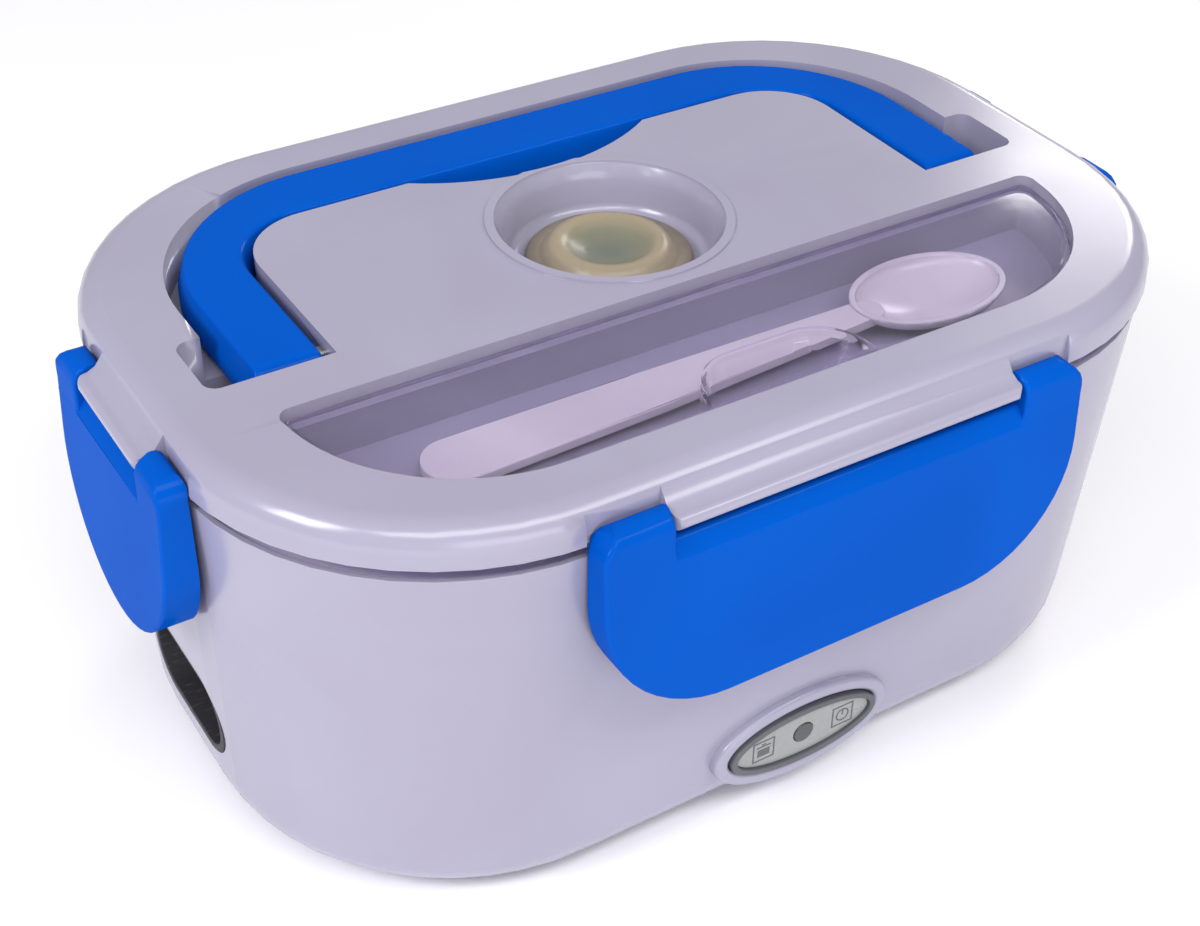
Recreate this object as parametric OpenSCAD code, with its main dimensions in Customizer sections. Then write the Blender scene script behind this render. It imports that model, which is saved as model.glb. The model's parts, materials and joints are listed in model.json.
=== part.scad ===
// Electric lunch box: a heated base, a lift-out food container with a side tray,
// and a latched lid that carries a folding handle, a steam plug and a spoon.
// The origin is on the table under the middle of the box: +X runs along the box,
// the indicator faces -Y, the power inlet faces -X and +Z is up. Millimetres.

/* [Lid] */
// Height of the lid top above the table
total_h = 103.5; // [98:0.5:116]
// Length of the lid
lid_len = 223; // [216:1:240]
// Width of the lid
lid_wid = 152.6; // [150:0.2:166]
// Corner radius of the lid seen from above
lid_corner = 58; // [50:1:62]
// Radius of the rolled edge round the lid top
lid_edge_r = 5.5; // [3:0.5:6.5]
// Wall of the lid
lid_wall = 2.4; // [2:0.1:3]
// Height of the lid side, from its lower edge to its top
lid_skirt = 8.4; // [7.8:0.1:9]
// Thickness of the walls and floors of the lid's pockets
pocket_wall = 1.8; // [1.4:0.1:2.2]
// Thickness of the plate that closes the lid from below
liner_t = 1.8; // [1.4:0.1:2.4]
// How far the lid liner stands in from the lid edge
liner_inset = 8; // [7.7:0.1:8.4]

/* [Latches] */
// Reach of the lid's hinge lips beyond the lid edge
lip_reach = 5; // [4.6:0.1:5.2]
// Half length of the hinge lip on the long sides
lip_half_long = 40.5; // [34:0.5:44]
// Half length of the hinge lip on the short sides
lip_half_short = 15.8; // [12:0.2:17]
// Half length of a long latch
latch_half_long = 56; // [53:0.5:57]
// Half length of a short latch
latch_half_short = 27.5; // [25.5:0.5:28]
// Height of the long latches' lower edge above the table
latch_low_z = 53.7; // [48:0.1:64]
// How much lower the short latches reach
short_drop = 1.6; // [0:0.1:3]
// Radius of the latches' lower corners
latch_corner = 27.5; // [20:0.5:32]
// Radius of the latches' upper corners
latch_top_corner = 6; // [3:0.5:7]
// Reach of a latch's face beyond the lid edge, at its lower edge
latch_low_reach = 8; // [6.6:0.1:9]
// Wall of a latch
latch_wall = 2.4; // [1.8:0.1:3]
// Radius of the round top of a latch's hinge ears
ear_r = 2.6; // [2.4:0.1:2.8]
// Radius of the latch hinge pins
latch_pin_r = 1.1; // [0.9:0.05:1.2]
// How far each latch pin goes into the lid's lip, and into the ear
latch_pin_reach = 7; // [5:0.5:8]

/* [Handle] */
// Outer half length of the handle loop
handle_out_x = 90; // [84:0.5:91]
// Rear edge of the handle, behind the middle of the lid
handle_out_y = 61.5; // [58:0.5:62]
// Outer corner radius of the handle
handle_out_r = 40; // [34:1:44]
// Width of the handle's arms
handle_arm_w = 16.4; // [14:0.2:17]
// Width of the handle's grip bar
handle_bar_w = 18.3; // [15:0.1:19]
// Inner corner radius of the handle
handle_in_r = 17; // [12:1:20]
// Thickness of the handle
handle_t = 9; // [7.5:0.1:9.4]
// Place of the handle's hinge line along Y
handle_pin_y = -2; // [-4:0.5:0]
// Depth of the handle's hinge line below the lid top
handle_pin_drop = 5.2; // [4.8:0.1:5.6]
// How far the arms reach in front of the hinge line
handle_nose = 6.9; // [6:0.1:7]
// Radius of the handle's hinge pins
handle_pin_r = 2; // [1.6:0.05:2.2]
// Gap between the handle and its channel
channel_gap = 1; // [0.6:0.1:1.2]
// Gap between the handle's arms and their channel, on the outer side
channel_side = 3.2; // [1:0.1:3.4]
// Half width of the finger notch in front of the grip
notch_half = 31; // [24:1:36]
// Depth of the finger notch from the grip forward
notch_in = 9.6; // [6:0.2:10]
// Width of the pocket beside each arm end
pit_side = 8.9; // [6:0.1:9]
// Length of the pocket beside each arm end
pit_len = 18.1; // [16:0.1:20]

/* [Steam plug] */
// Radius of the steam well's mouth
well_r = 25; // [22:0.5:25]
// Place of the steam well's centre along Y
well_y = 7.8; // [6:0.2:8]
// Depth of the steam well
well_depth = 11; // [9:0.5:11.5]
// Radius of the curve between the steam well's floor and side
well_fillet = 3.2; // [2:0.2:4]
// Radius of the steam hole
steam_hole_r = 6; // [4:0.5:8]
// Radius of the plug's flange
plug_r = 18.5; // [16:0.1:19]
// Radius of the plug's dome
plug_dome_r = 14.6; // [11:0.1:15]
// Height of the plug above the floor of its well
plug_h = 5.4; // [5:0.1:7]

/* [Spoon compartment] */
// Half length of the spoon compartment
spoon_half_x = 91; // [86:0.5:92]
// Straight rear edge of the compartment along Y
spoon_rear_y = -22.2; // [-25:0.2:-21]
// Front edge of the compartment along Y
spoon_front_y = -62.5; // [-63.5:0.5:-59]
// Radius of the compartment's front corners
spoon_corner = 40; // [34:0.5:41]
// Depth of the spoon compartment
spoon_depth = 13; // [12:0.2:14]
// Depth of the clear cover's face below the lid top
cover_drop = 2.2; // [1.6:0.1:3]
// Thickness of the clear cover
cover_t = 1.6; // [1.2:0.1:2]
// Width of the ledge that carries the clear cover
cover_ledge = 1.8; // [1.4:0.1:2.4]
// Half length of the finger pocket in the clear cover
grip_half = 17.5; // [14:0.5:19]
// Reach of the finger pocket from its front wall
grip_reach = 12; // [10.5:0.5:12.5]
// Depth of the finger pocket below the cover's face
grip_depth = 4.2; // [3:0.1:4.6]
// Length of the spoon
spoon_len = 138; // [126:1:146]
// Width of the spoon's bowl
spoon_bowl_w = 25; // [20:1:28]
// Depth of the spoon's bowl
spoon_bowl_h = 6; // [5:0.1:6.2]
// Thickness of the spoon's handle
spoon_t = 2; // [1.6:0.1:2.4]
// Distance of the spoon's middle line from the compartment's rear side
spoon_set = 18.8; // [17.5:0.1:19]
// Half width of the spoon's grip
spoon_grip_r = 7; // [5:0.5:7]

/* [Body] */
// Open gap between the lid edge and the body's top edge
seam_gap = 3.2; // [2.6:0.1:3.6]
// How far the lid edge stands out from the body
lid_overhang = 1; // [0.8:0.1:1.2]
// Wall of the outer shell
body_wall = 2.4; // [2:0.1:2.6]
// How far each end of the body slopes in, from top to base
taper_x = 2.3; // [1:0.1:5]
// How far each side of the body slopes in, from top to base
taper_y = 5; // [2:0.1:6.5]
// Radius of the body's lower edge
base_fillet = 11.5; // [8:0.5:14]
// Height of the feet below the body
foot_h = 1.5; // [1:0.1:3]
// Radius of a foot
foot_r = 6; // [4:0.5:7]
// Space under the heated pocket for the heater parts
base_space = 22.7; // [22:0.1:26]
// Thickness of the base cover's rim, and of its raised middle
cover_rim_t = 1.3; // [1.1:0.1:1.5]
// Width of the shell's ledge round the base cover
base_ledge = 3; // [2:0.5:4]

/* [Heated pocket and container] */
// How far the pocket's flange lies below the body's top edge
flange_drop = 1.4; // [0.2:0.1:2]
// Thickness of the pocket's flange
flange_t = 2; // [1.6:0.1:2.4]
// Wall of the heated pocket
basin_wall = 1.8; // [1.5:0.1:2]
// Wall of the food container
tub_wall = 1.8; // [1.4:0.1:2.2]
// Thickness of the food container's rim
rim_t = 2; // [1.6:0.1:2.4]
// How far the container's walls slope in, from rim to floor
tub_taper = 10; // [8:0.5:12]
// Radius of the container's lower edge
tub_fillet = 9; // [6:0.5:10]
// Place of the side tray's inner side along X, at its mouth
tray_left = 25; // [16:1:34]
// Room between the side tray and the container's wall
tray_room = 4; // [3:0.5:7]
// Radius of the side tray's inner corners, at its mouth
tray_corner = 23; // [21:1:26]
// Reach of the side tray's rim
tray_lip = 1.5; // [1:0.1:2]
// Wall of the side tray
tray_wall = 1.6; // [1.2:0.1:2]
// Thickness of the gasket below the lid liner
gasket_drop = 1.6; // [1.2:0.1:2.2]
// Width of the gasket
gasket_w = 3.6; // [2.8:0.2:4]

/* [Heater parts] */
// Half length of the heating plate's top
plate_half_x = 44; // [36:1:46]
// Half width of the heating plate's top
plate_half_y = 25.7; // [20:0.1:26]
// Thickness of the heating plate's flange
plate_flange_t = 1.6; // [1.2:0.1:2]
// How far the heating plate stands above the pocket's floor
plate_proud = 0.6; // [0.4:0.1:1]
// Length of the heater block
ptc_len = 50; // [40:1:52]
// Width of the heater block
ptc_wid = 24; // [18:1:26]
// Thickness of the heater block
ptc_t = 4; // [3:0.1:5]
// Thickness of the clamp strap
strap_t = 1; // [0.8:0.1:1.5]
// Width of the clamp strap
strap_w = 12; // [9:0.5:16]
// Distance of the clamp screws from the middle
clamp_y = 36; // [34.5:0.5:37]
// Radius of the thermostat
thermostat_r = 7.5; // [6:0.5:8]
// Height of the thermostat
thermostat_h = 9; // [7:0.5:10]
// Radius of the thermal fuse
fuse_r = 2; // [1.5:0.1:2.5]
// Gap between the heater block and the thermostat beside it
sensor_gap = 3.5; // [3:0.1:4.5]
// Radius of the insulated wires
wire_r = 1; // [0.8:0.1:1.2]

/* [Fasteners and feet] */
// Radius of a screw's thread
screw_r = 1.45; // [1.2:0.05:1.7]
// Radius of a screw's head
screw_head_r = 2.8; // [2.4:0.1:3.2]
// Length of a base screw below its head
base_screw_len = 12; // [8:0.5:14]
// Length of a clamp screw below its head
clamp_screw_len = 5; // [4:0.5:6]
// Place of the base screws along X
screw_x = 58; // [56:0.5:62]
// Place of the base screws along Y
screw_y = 31; // [28:0.5:33]
// Place of the feet along X
foot_x = 77; // [74:0.5:79]
// Place of the feet along Y
foot_y = 34; // [30:0.5:36]

/* [Indicator and inlet] */
// Height of the indicator's middle above the table
indicator_z = 17.8; // [17:0.2:22]
// Half length of the indicator's bezel
bezel_half_x = 19; // [16:0.5:22]
// Half height of the indicator's bezel
bezel_half_z = 7.5; // [6.6:0.1:8.6]
// Width of the bezel's ring
bezel_ring = 1.6; // [1.4:0.1:2.6]
// Width of the boss round the indicator's bezel
boss_ring = 3.6; // [2:0.1:4]
// Reach of the indicator's boss beyond the body's foot line
boss_reach = 2.8; // [2:0.1:4]
// Radius of the indicator lamp
led_r = 2.5; // [1.5:0.1:3]
// How far the indicator's bezel stands out from its boss
bezel_proud = 0.6; // [0.4:0.1:0.8]
// Half width of the lamp's circuit board
board_half_x = 14; // [11:0.5:15]
// Half height of the lamp's circuit board
board_half_z = 6; // [5:0.5:6.5]
// Height of the power inlet's middle above the table
inlet_z = 26; // [25:0.2:29]
// Half width of the inlet's opening
inlet_half_y = 19; // [14:0.5:20]
// Half height of the inlet's opening
inlet_half_z = 10; // [8:0.2:10]
// Depth of the inlet's housing
inlet_depth = 14.5; // [12:0.5:15]
// Distance between the inlet's two pins
pin_pitch = 8.6; // [7:0.2:10]
// Radius of the inlet's pins
inlet_pin_r = 1.2; // [1:0.1:1.5]

/* [Fits] */
// Gap between pieces that lift out or rest on each other
seat_gap = 0.3; // [0.2:0.05:0.4]
// Gap between fixed pieces that nest in each other
fit_gap = 0.2; // [0.1:0.05:0.3]
// Radial running gap of pins and screws
run_gap = 0.05; // [0.03:0.01:0.08]

/* [Hidden] */
$fn = 64;
eps = 0.01;
big = 400;

// Half sizes of the lid and of the pieces that nest inside its outline
lid_hx = lid_len / 2;
lid_hy = lid_wid / 2;
body_hx = lid_hx - lid_overhang;
body_hy = lid_hy - lid_overhang;
shell_in = lid_overhang + body_wall;
flange_in = lid_overhang + body_wall / 2;
basin_in = shell_in + 1.2;
mouth_in = basin_in + basin_wall;
rim_in = mouth_in + 0.9;
pocket_in = liner_inset + gasket_w + 2.4;
tub_gap = 0.7;
tub_in = pocket_in + tub_gap;

// Heights
lid_top = total_h;
skirt_z = lid_top - lid_skirt;
body_top = skirt_z - seam_gap;
flange_top = body_top - flange_drop;
flange_low = flange_top - flange_t;
spoon_floor = lid_top - spoon_depth;
liner_top = spoon_floor - pocket_wall;
liner_low = liner_top - liner_t;
gasket_low = liner_low - gasket_drop;
rim_top = gasket_low - seat_gap;
rim_low = rim_top - rim_t;
ledge_z = rim_low - seat_gap;
pocket_floor = foot_h + base_space;
plate_top = pocket_floor + plate_proud;
tub_low = plate_top + seat_gap;
tub_mid_x = lid_hx - lid_corner;
tub_mid_y = lid_hy - lid_corner;

// Side tray
tray_outer_r = lid_corner - tub_in - tub_wall - tray_room;
tray_mid_y = tub_mid_y + tray_outer_r - tray_corner;
tray_fillet = 7;
tray_drop = 3;
basin_under = pocket_floor - 2;
plate_low = basin_under - plate_flange_t;
ptc_low = plate_low - ptc_t;
strap_low = ptc_low - strap_t;
cover_mid_z = foot_h + cover_rim_t;
cover_top_z = foot_h + body_wall + 0.3;

// Sizes at the foot of the outer shell
foot_hx = body_hx - taper_x;
foot_hy = body_hy - taper_y;
body_r = lid_corner - lid_overhang;
open_hx = foot_hx - base_fillet - base_ledge;
open_hy = foot_hy - base_fillet - base_ledge;
open_r = body_r - base_fillet - 1;

// Hinge line of the latches, measured out from the lid edge
pivot_u = 1.6;
pivot_z = skirt_z + 1.5;
ear_gap = 0.4;
ear_front = 3.8;
lip_low_z = pivot_z - 1.7;
bead_z = body_top - 3.3;
// Upper edge of a latch under its lip, and the start of the curve below it
latch_top_z = pivot_z - 3.9;
latch_bend_z = pivot_z - 7.6;
// Back plane of the latches: clear of the body's widest line, so that the lid can lift off
latch_back_u = -lid_overhang + 0.4;
// Half length of a cut that goes right through a latch
latch_through = 30;
bead_half_long = lip_half_long - 2.5;
bead_half_short = lip_half_short - 2;

// Handle and its channel
handle_z = lid_top - handle_pin_drop;
handle_low = lid_top - handle_t;
arm_in_x = handle_out_x - handle_arm_w;
bar_in_y = handle_out_y - handle_bar_w;
pit_front = handle_pin_y - handle_nose - 1;
channel_z = handle_low - 1.2;
pit_z = spoon_floor;
notch_R = (notch_half * notch_half + notch_in * notch_in) / (2 * notch_in);

// Steam plug
well_floor = lid_top - well_depth;
well_floor_r = plug_r + 0.7;
plug_low = well_floor + seat_gap;

// Clear cover of the spoon compartment
cover_top = lid_top - cover_drop;
cover_low = cover_top - cover_t;
ledge_top = cover_low - seat_gap;
spoon_x = -1.5;
spoon_y = spoon_rear_y - spoon_set;
spoon_z = spoon_floor + seat_gap;
grip_x = 1;
grip_wall = 1.2;
grip_corner = 10;
grip_y = spoon_front_y + cover_ledge + seat_gap + grip_wall;

// Indicator and inlet
boss_y = -(foot_hy + boss_reach);
boss_rear_y = boss_y + 7.4;
bezel_back_y = boss_y + 2.6;
inlet_face_x = -(foot_hx + taper_x * inlet_z / body_top - 0.3);
inlet_back_x = inlet_face_x + inlet_depth;
step_x = inlet_face_x + 5;

// Bosses under the heated pocket
screw_boss_r = 4;
clamp_boss_r = 3.5;

// Heater: places of its tabs, of the thermostat and of the fuse
sensor_x = ptc_len / 2 + sensor_gap + thermostat_r;
tab_x = ptc_len / 2 + 1.5;
tab_low = ptc_low + 0.2;
pin_low = plate_low - thermostat_h - 2.4;

// Routes of the wires under the heated pocket
tab_z = tab_low - wire_r - 0.2;
pin_z = pin_low - wire_r - 0.2;
lead_y = 7.5;
live_route = [[-90, 4, 26], [-86, 6, 18], [-72, 14, 9], [-52, 16, 9], [-sensor_x - 4, 12, 13],
  [-sensor_x, lead_y, 18]];
fuse_route = [[-sensor_x, -lead_y, 18], [-sensor_x - 2, -12, 12], [-sensor_x + 2, -16, 9],
  [-tab_x - 2.5, -12, 12], [-tab_x, -4, tab_z]];
heat_route = [[tab_x, 4, tab_z], [tab_x + 2.5, 10, 12], [sensor_x - 2, 15, 8], [sensor_x + 3, 10, 7],
  [sensor_x + 3, 2.5, pin_z]];
back_route = [[sensor_x - 3, -2.5, pin_z], [28, -14, 7], [8, -22, 7], [-40, -24, 7], [-72, -14, 9],
  [-86, -6, 18], [-90, -4, 26]];
led_route_a = [[-tab_x - 0.5, 5, tab_z], [-tab_x - 3, 12, 11], [-20, 18, 7], [-9, 12, 7.5], [-5, -22, 9.8],
  [-4, -54, 12], [-4, -63, 19]];
led_route_b = [[tab_x, -4, tab_z], [tab_x + 2, -12, 11], [20, -30, 9], [8, -44, 9], [4, -56, 12],
  [4, -63, 19]];

// ---- shared shapes ----

// Rounded rectangle with half sizes hx and hy
module rounded(hx, hy, r) {
  rr = min(r, hx - 0.5, hy - 0.5);
  square([2 * (hx - rr), 2 * hy], center = true);
  square([2 * hx, 2 * (hy - rr)], center = true);
  for (sx = [-1, 1], sy = [-1, 1]) translate([sx * (hx - rr), sy * (hy - rr)]) circle(r = rr);
}

// The lid's outline moved in by a distance
module lid_outline(inset) {
  rounded(lid_hx - inset, lid_hy - inset, lid_corner - inset);
}

// Prism between two heights
module slab(z0, z1) {
  translate([0, 0, z0]) linear_extrude(height = z1 - z0) children();
}

// Disc with a round lower edge
module edge_disc(r, f, h) {
  steps = 6;
  arc = [for (i = [0:steps]) [r - f + f * sin(90 * i / steps), f - f * cos(90 * i / steps)]];
  rotate_extrude($fn = 48) polygon(concat([[0, 0]], arc, h > f ? [[r, h], [0, h]] : [[0, h]]));
}

// Tub with sloping walls and a round lower edge, from z0 up to z1
module tub(top, base, z0, z1, f) {
  edge = 0.3;
  hull() {
    for (sx = [-1, 1], sy = [-1, 1]) {
      translate([sx * (top[0] - top[2]), sy * (top[1] - top[2]), z1 - edge])
        cylinder(r = top[2], h = edge, $fn = 48);
      translate([sx * (base[0] - base[2]), sy * (base[1] - base[2]), z0])
        edge_disc(base[2], f, f);
    }
  }
}

// The lid's outer form: upright sides and a rolled top edge
module lid_form() {
  translate([0, 0, lid_top]) mirror([0, 0, 1]) hull()
    for (sx = [-1, 1], sy = [-1, 1])
      translate([sx * (lid_hx - lid_corner), sy * (lid_hy - lid_corner), 0])
        edge_disc(lid_corner, lid_edge_r, lid_skirt);
}

// Half sizes and corner radius of the lid outline moved in by a distance
function inset_size(d) = [lid_hx - d, lid_hy - d, lid_corner - d];

// Ellipse as an outline
module ellipse(a, b) {
  polygon([for (i = [0:71]) [a * cos(5 * i), b * sin(5 * i)]]);
}

// Bar with round ends, centred
module stadium(hy, hz) {
  square([2 * (hy - hz), 2 * hz], center = true);
  for (s = [-1, 1]) translate([s * (hy - hz), 0]) circle(r = hz);
}

// Lays an outline on a front face: its x stays x, its y becomes z, it grows toward -Y
module face_front(y0, y1) {
  translate([0, y1, 0]) rotate([90, 0, 0]) linear_extrude(height = y1 - y0) children();
}

// Lays an outline on an end face: its x becomes y, its y becomes z, it grows toward +X
module face_end(x0, x1) {
  translate([x0, 0, 0]) rotate([90, 0, 90]) linear_extrude(height = x1 - x0) children();
}

// Rod along X
module rod_x(x0, x1, r) {
  translate([x0, 0, 0]) rotate([0, 90, 0]) cylinder(r = r, h = x1 - x0);
}

// Puts a piece made for the front side on each side of the lid:
// its x runs along the side and its -y points out from the lid edge
module on_front() { translate([0, -lid_hy, 0]) children(); }
module on_rear() { translate([0, lid_hy, 0]) rotate([0, 0, 180]) children(); }
module on_left() { translate([-lid_hx, 0, 0]) rotate([0, 0, -90]) children(); }
module on_right() { translate([lid_hx, 0, 0]) rotate([0, 0, 90]) children(); }

module on_all_sides() {
  on_front() children(0);
  on_rear() children(0);
  on_left() children(1);
  on_right() children(1);
}

// Four places, mirrored about both axes
module at_corners(x, y) {
  for (sx = [-1, 1], sy = [-1, 1]) translate([sx * x, sy * y, 0]) children();
}

// Extrudes a section along X on a side of the lid: its x points out, its y is z
module along_side(half) {
  translate([-half, 0, 0]) rotate([90, 0, 90]) linear_extrude(height = 2 * half)
    mirror([1, 0]) children();
}

// Smooth route through points, as a list of places
function spline(p, i, t) =
  let (a = p[max(i - 1, 0)], b = p[i], c = p[i + 1], d = p[min(i + 2, len(p) - 1)])
  0.5 * (2 * b + (c - a) * t + (2 * a - 5 * b + 4 * c - d) * t * t
    + (3 * b - a - 3 * c + d) * t * t * t);
function route(p, steps) = concat(
  [for (i = [0:len(p) - 2], k = [0:steps - 1]) spline(p, i, k / steps)], [p[len(p) - 1]]);
function unit(v) = v / norm(v);
function heading(q, i) = unit(q[min(i + 1, len(q) - 1)] - q[max(i - 1, 0)]);
function side_of(t) = unit(cross(t, abs(t[2]) < 0.8 ? [0, 0, 1] : [1, 0, 0]));

// Round wire swept along a route
module wire(points, r) {
  q = route(points, 3);
  n = 8;
  rings = [for (i = [0:len(q) - 1]) let (t = heading(q, i), s = side_of(t), u = cross(s, t))
    for (k = [0:n - 1]) q[i] + r * (cos(360 * k / n) * s + sin(360 * k / n) * u)];
  last = len(q) - 1;
  walls = [for (i = [0:last - 1], k = [0:n - 1]) each [
    [i * n + k, (i + 1) * n + k, i * n + (k + 1) % n],
    [i * n + (k + 1) % n, (i + 1) * n + k, (i + 1) * n + (k + 1) % n]]];
  start = [[for (k = [0:n - 1]) k]];
  end = [[for (k = [n - 1:-1:0]) last * n + k]];
  polyhedron(points = rings, faces = concat(walls, start, end));
}

// ---- body ----

module shell_solid(w) {
  tub([body_hx - w, body_hy - w, body_r - w], [foot_hx - w, foot_hy - w, body_r - w],
    foot_h + w, w > 0 ? body_top + 1 : body_top, base_fillet - w);
}

// Bead that a latch's rib snaps under
module latch_bead(half) {
  translate([0, 0, bead_z]) along_side(half)
    polygon([[-lid_overhang - 1, -1.6], [-lid_overhang, -1.6], [0, -0.6], [0, 0.6], [-lid_overhang, 1.6],
      [-lid_overhang - 1, 1.6]]);
}

module outer_shell() {
  color([0.80, 0.77, 0.86])
  difference() {
    union() {
      difference() {
        shell_solid(0);
        shell_solid(body_wall);
      }
      on_all_sides() {
        latch_bead(bead_half_long);
        latch_bead(bead_half_short);
      }
      face_front(boss_y, boss_rear_y)
        translate([0, indicator_z]) ellipse(bezel_half_x + boss_ring, bezel_half_z + boss_ring);
    }
    // Rebate for the heated pocket's flange
    slab(flange_low, body_top + 2) lid_outline(flange_in);
    // Opening and rebate for the base cover
    slab(foot_h - 1, foot_h + body_wall + 1) rounded(open_hx, open_hy, open_r);
    slab(foot_h - 1, cover_mid_z) rounded(open_hx + base_ledge, open_hy + base_ledge, open_r + base_ledge);
    // Seat and hole of the indicator
    face_front(boss_y - 1, bezel_back_y)
      translate([0, indicator_z]) ellipse(bezel_half_x + fit_gap, bezel_half_z + fit_gap);
    face_front(boss_y - 1, boss_rear_y + 1) translate([0, indicator_z]) circle(r = led_r + fit_gap);
    // Opening of the power inlet
    face_end(-body_hx - 5, -foot_hx + 8) translate([0, inlet_z]) stadium(inlet_half_y, inlet_half_z);
  }
}

// Pocket that holds the food container, grown by a wall
module pocket_solid(w, z_top) {
  top = inset_size(pocket_in - w);
  base = inset_size(pocket_in + tub_taper - w);
  tub(top, base, w > 0 ? basin_under : pocket_floor, z_top, tub_fillet + tub_gap + w);
}

module inner_basin() {
  color([0.86, 0.84, 0.90])
  difference() {
    union() {
      pocket_solid(basin_wall, ledge_z);
      slab(ledge_z - basin_wall, flange_top) lid_outline(basin_in);
      slab(flange_low, flange_top) lid_outline(flange_in + fit_gap);
      at_corners(screw_x, screw_y) translate([0, 0, cover_top_z])
        cylinder(r = screw_boss_r, h = basin_under + 1 - cover_top_z);
      for (s = [-1, 1]) translate([0, s * clamp_y, ptc_low])
        cylinder(r = clamp_boss_r, h = basin_under + 1 - ptc_low);
    }
    pocket_solid(0, ledge_z + 1);
    slab(ledge_z, body_top + 1) lid_outline(mouth_in);
    slab(basin_under - 1, pocket_floor + 1)
      rounded(plate_half_x + fit_gap, plate_half_y + fit_gap, 12 + fit_gap);
    at_corners(screw_x, screw_y) translate([0, 0, cover_top_z - 1])
      cylinder(r = screw_r + run_gap, h = base_screw_len + 1);
    for (s = [-1, 1]) translate([0, s * clamp_y, ptc_low - 1])
      cylinder(r = screw_r + run_gap, h = clamp_screw_len + 1);
  }
}

module base_cover() {
  color([0.74, 0.72, 0.80])
  difference() {
    union() {
      slab(foot_h, cover_mid_z) rounded(open_hx + base_ledge - fit_gap, open_hy + base_ledge - fit_gap,
        open_r + base_ledge - fit_gap);
      slab(foot_h, cover_top_z) rounded(open_hx - fit_gap, open_hy - fit_gap, open_r - fit_gap);
    }
    at_corners(foot_x, foot_y) translate([0, 0, foot_h - 1]) cylinder(r = foot_r + fit_gap, h = 1.8);
    at_corners(screw_x, screw_y) {
      translate([0, 0, foot_h - 1]) cylinder(r = screw_r + 0.2, h = 6);
      translate([0, 0, foot_h - 1]) cylinder(r = screw_head_r + 0.2, h = 2.4);
    }
    // Cooling slots under the heater
    for (i = [-3:3]) slab(foot_h - 1, cover_top_z + 1) translate([i * 8, 0])
      rotate([0, 0, 90]) stadium(11, 1.2);
  }
}

module feet() {
  color([0.35, 0.35, 0.38])
  at_corners(foot_x, foot_y) cylinder(r = foot_r, h = foot_h + 0.8);
}

// Pan head screw that points up, with its head's seat at z = 0
module screw(length) {
  translate([0, 0, -1.3]) difference() {
    cylinder(r = screw_head_r, h = 1.3);
    for (a = [0, 90]) rotate([0, 0, a]) cube([3, 0.7, 1.2], center = true);
  }
  cylinder(r = screw_r, h = length);
}

module base_screws() {
  color([0.70, 0.71, 0.73])
  at_corners(screw_x, screw_y) translate([0, 0, foot_h + 1.4]) screw(base_screw_len);
}

// ---- heater ----

module heating_plate() {
  color([0.78, 0.79, 0.80]) {
    slab(basin_under, plate_top) rounded(plate_half_x, plate_half_y, 12);
    slab(plate_low, basin_under) rounded(plate_half_x + 4, plate_half_y + 4, 16);
  }
}

module ptc_heater() {
  color([0.80, 0.66, 0.30]) {
    slab(ptc_low, plate_low) rounded(ptc_len / 2, ptc_wid / 2, 2);
    // Terminal tabs at both ends
    for (s = [-1, 1]) translate([s * tab_x, 0, tab_low + 0.4])
      cube([3.2, 10, 0.8], center = true);
  }
}

module heater_clamp() {
  color([0.62, 0.63, 0.66])
  difference() {
    slab(strap_low, ptc_low) rounded(strap_w / 2, clamp_y + 4, 4);
    for (s = [-1, 1]) translate([0, s * clamp_y, strap_low - 1]) cylinder(r = screw_r + 0.2, h = strap_t + 2);
  }
}

module clamp_screws() {
  color([0.70, 0.71, 0.73])
  for (s = [-1, 1]) translate([0, s * clamp_y, strap_low]) screw(clamp_screw_len);
}

module thermostat() {
  color([0.20, 0.20, 0.22])
  translate([sensor_x, 0, plate_low - thermostat_h]) {
    translate([0, 0, 2]) cylinder(r = thermostat_r, h = thermostat_h - 2);
    cylinder(r = thermostat_r - 1.5, h = 2);
    for (s = [-1, 1]) translate([s * 3, s * 2.5, pin_low - plate_low + thermostat_h])
      cylinder(r = 0.8, h = 3);
  }
}

module thermal_fuse() {
  color([0.75, 0.20, 0.18])
  translate([-sensor_x, 0, plate_low - fuse_r - run_gap]) rotate([90, 0, 0]) {
    cylinder(r = fuse_r, h = 10, center = true);
    cylinder(r = 0.6, h = 14, center = true);
  }
}

module mains_wires() {
  color([0.85, 0.30, 0.15]) {
    wire(live_route, wire_r);
    wire(fuse_route, wire_r);
    wire(heat_route, wire_r);
    wire(back_route, wire_r);
  }
}

module led_wires() {
  color([0.15, 0.15, 0.17]) {
    wire(led_route_a, wire_r * 0.7);
    wire(led_route_b, wire_r * 0.7);
  }
}

// ---- indicator and inlet ----

module led_board() {
  color([0.10, 0.42, 0.24])
  face_front(boss_rear_y, boss_rear_y + 1.2) translate([0, indicator_z])
    rounded(board_half_x, board_half_z, 1);
}

module indicator_led() {
  color([0.28, 0.29, 0.31])
  translate([0, boss_rear_y, indicator_z]) rotate([90, 0, 0]) cylinder(r = led_r, h = boss_rear_y - boss_y);
}

module indicator_panel() {
  color([0.80, 0.84, 0.82])
  difference() {
    face_front(boss_y + 0.2, bezel_back_y) translate([0, indicator_z])
      ellipse(bezel_half_x - bezel_ring - 0.1, bezel_half_z - bezel_ring - 0.1);
    face_front(boss_y - 1, bezel_back_y + 1) translate([0, indicator_z]) circle(r = led_r + 0.1);
  }
}

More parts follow.
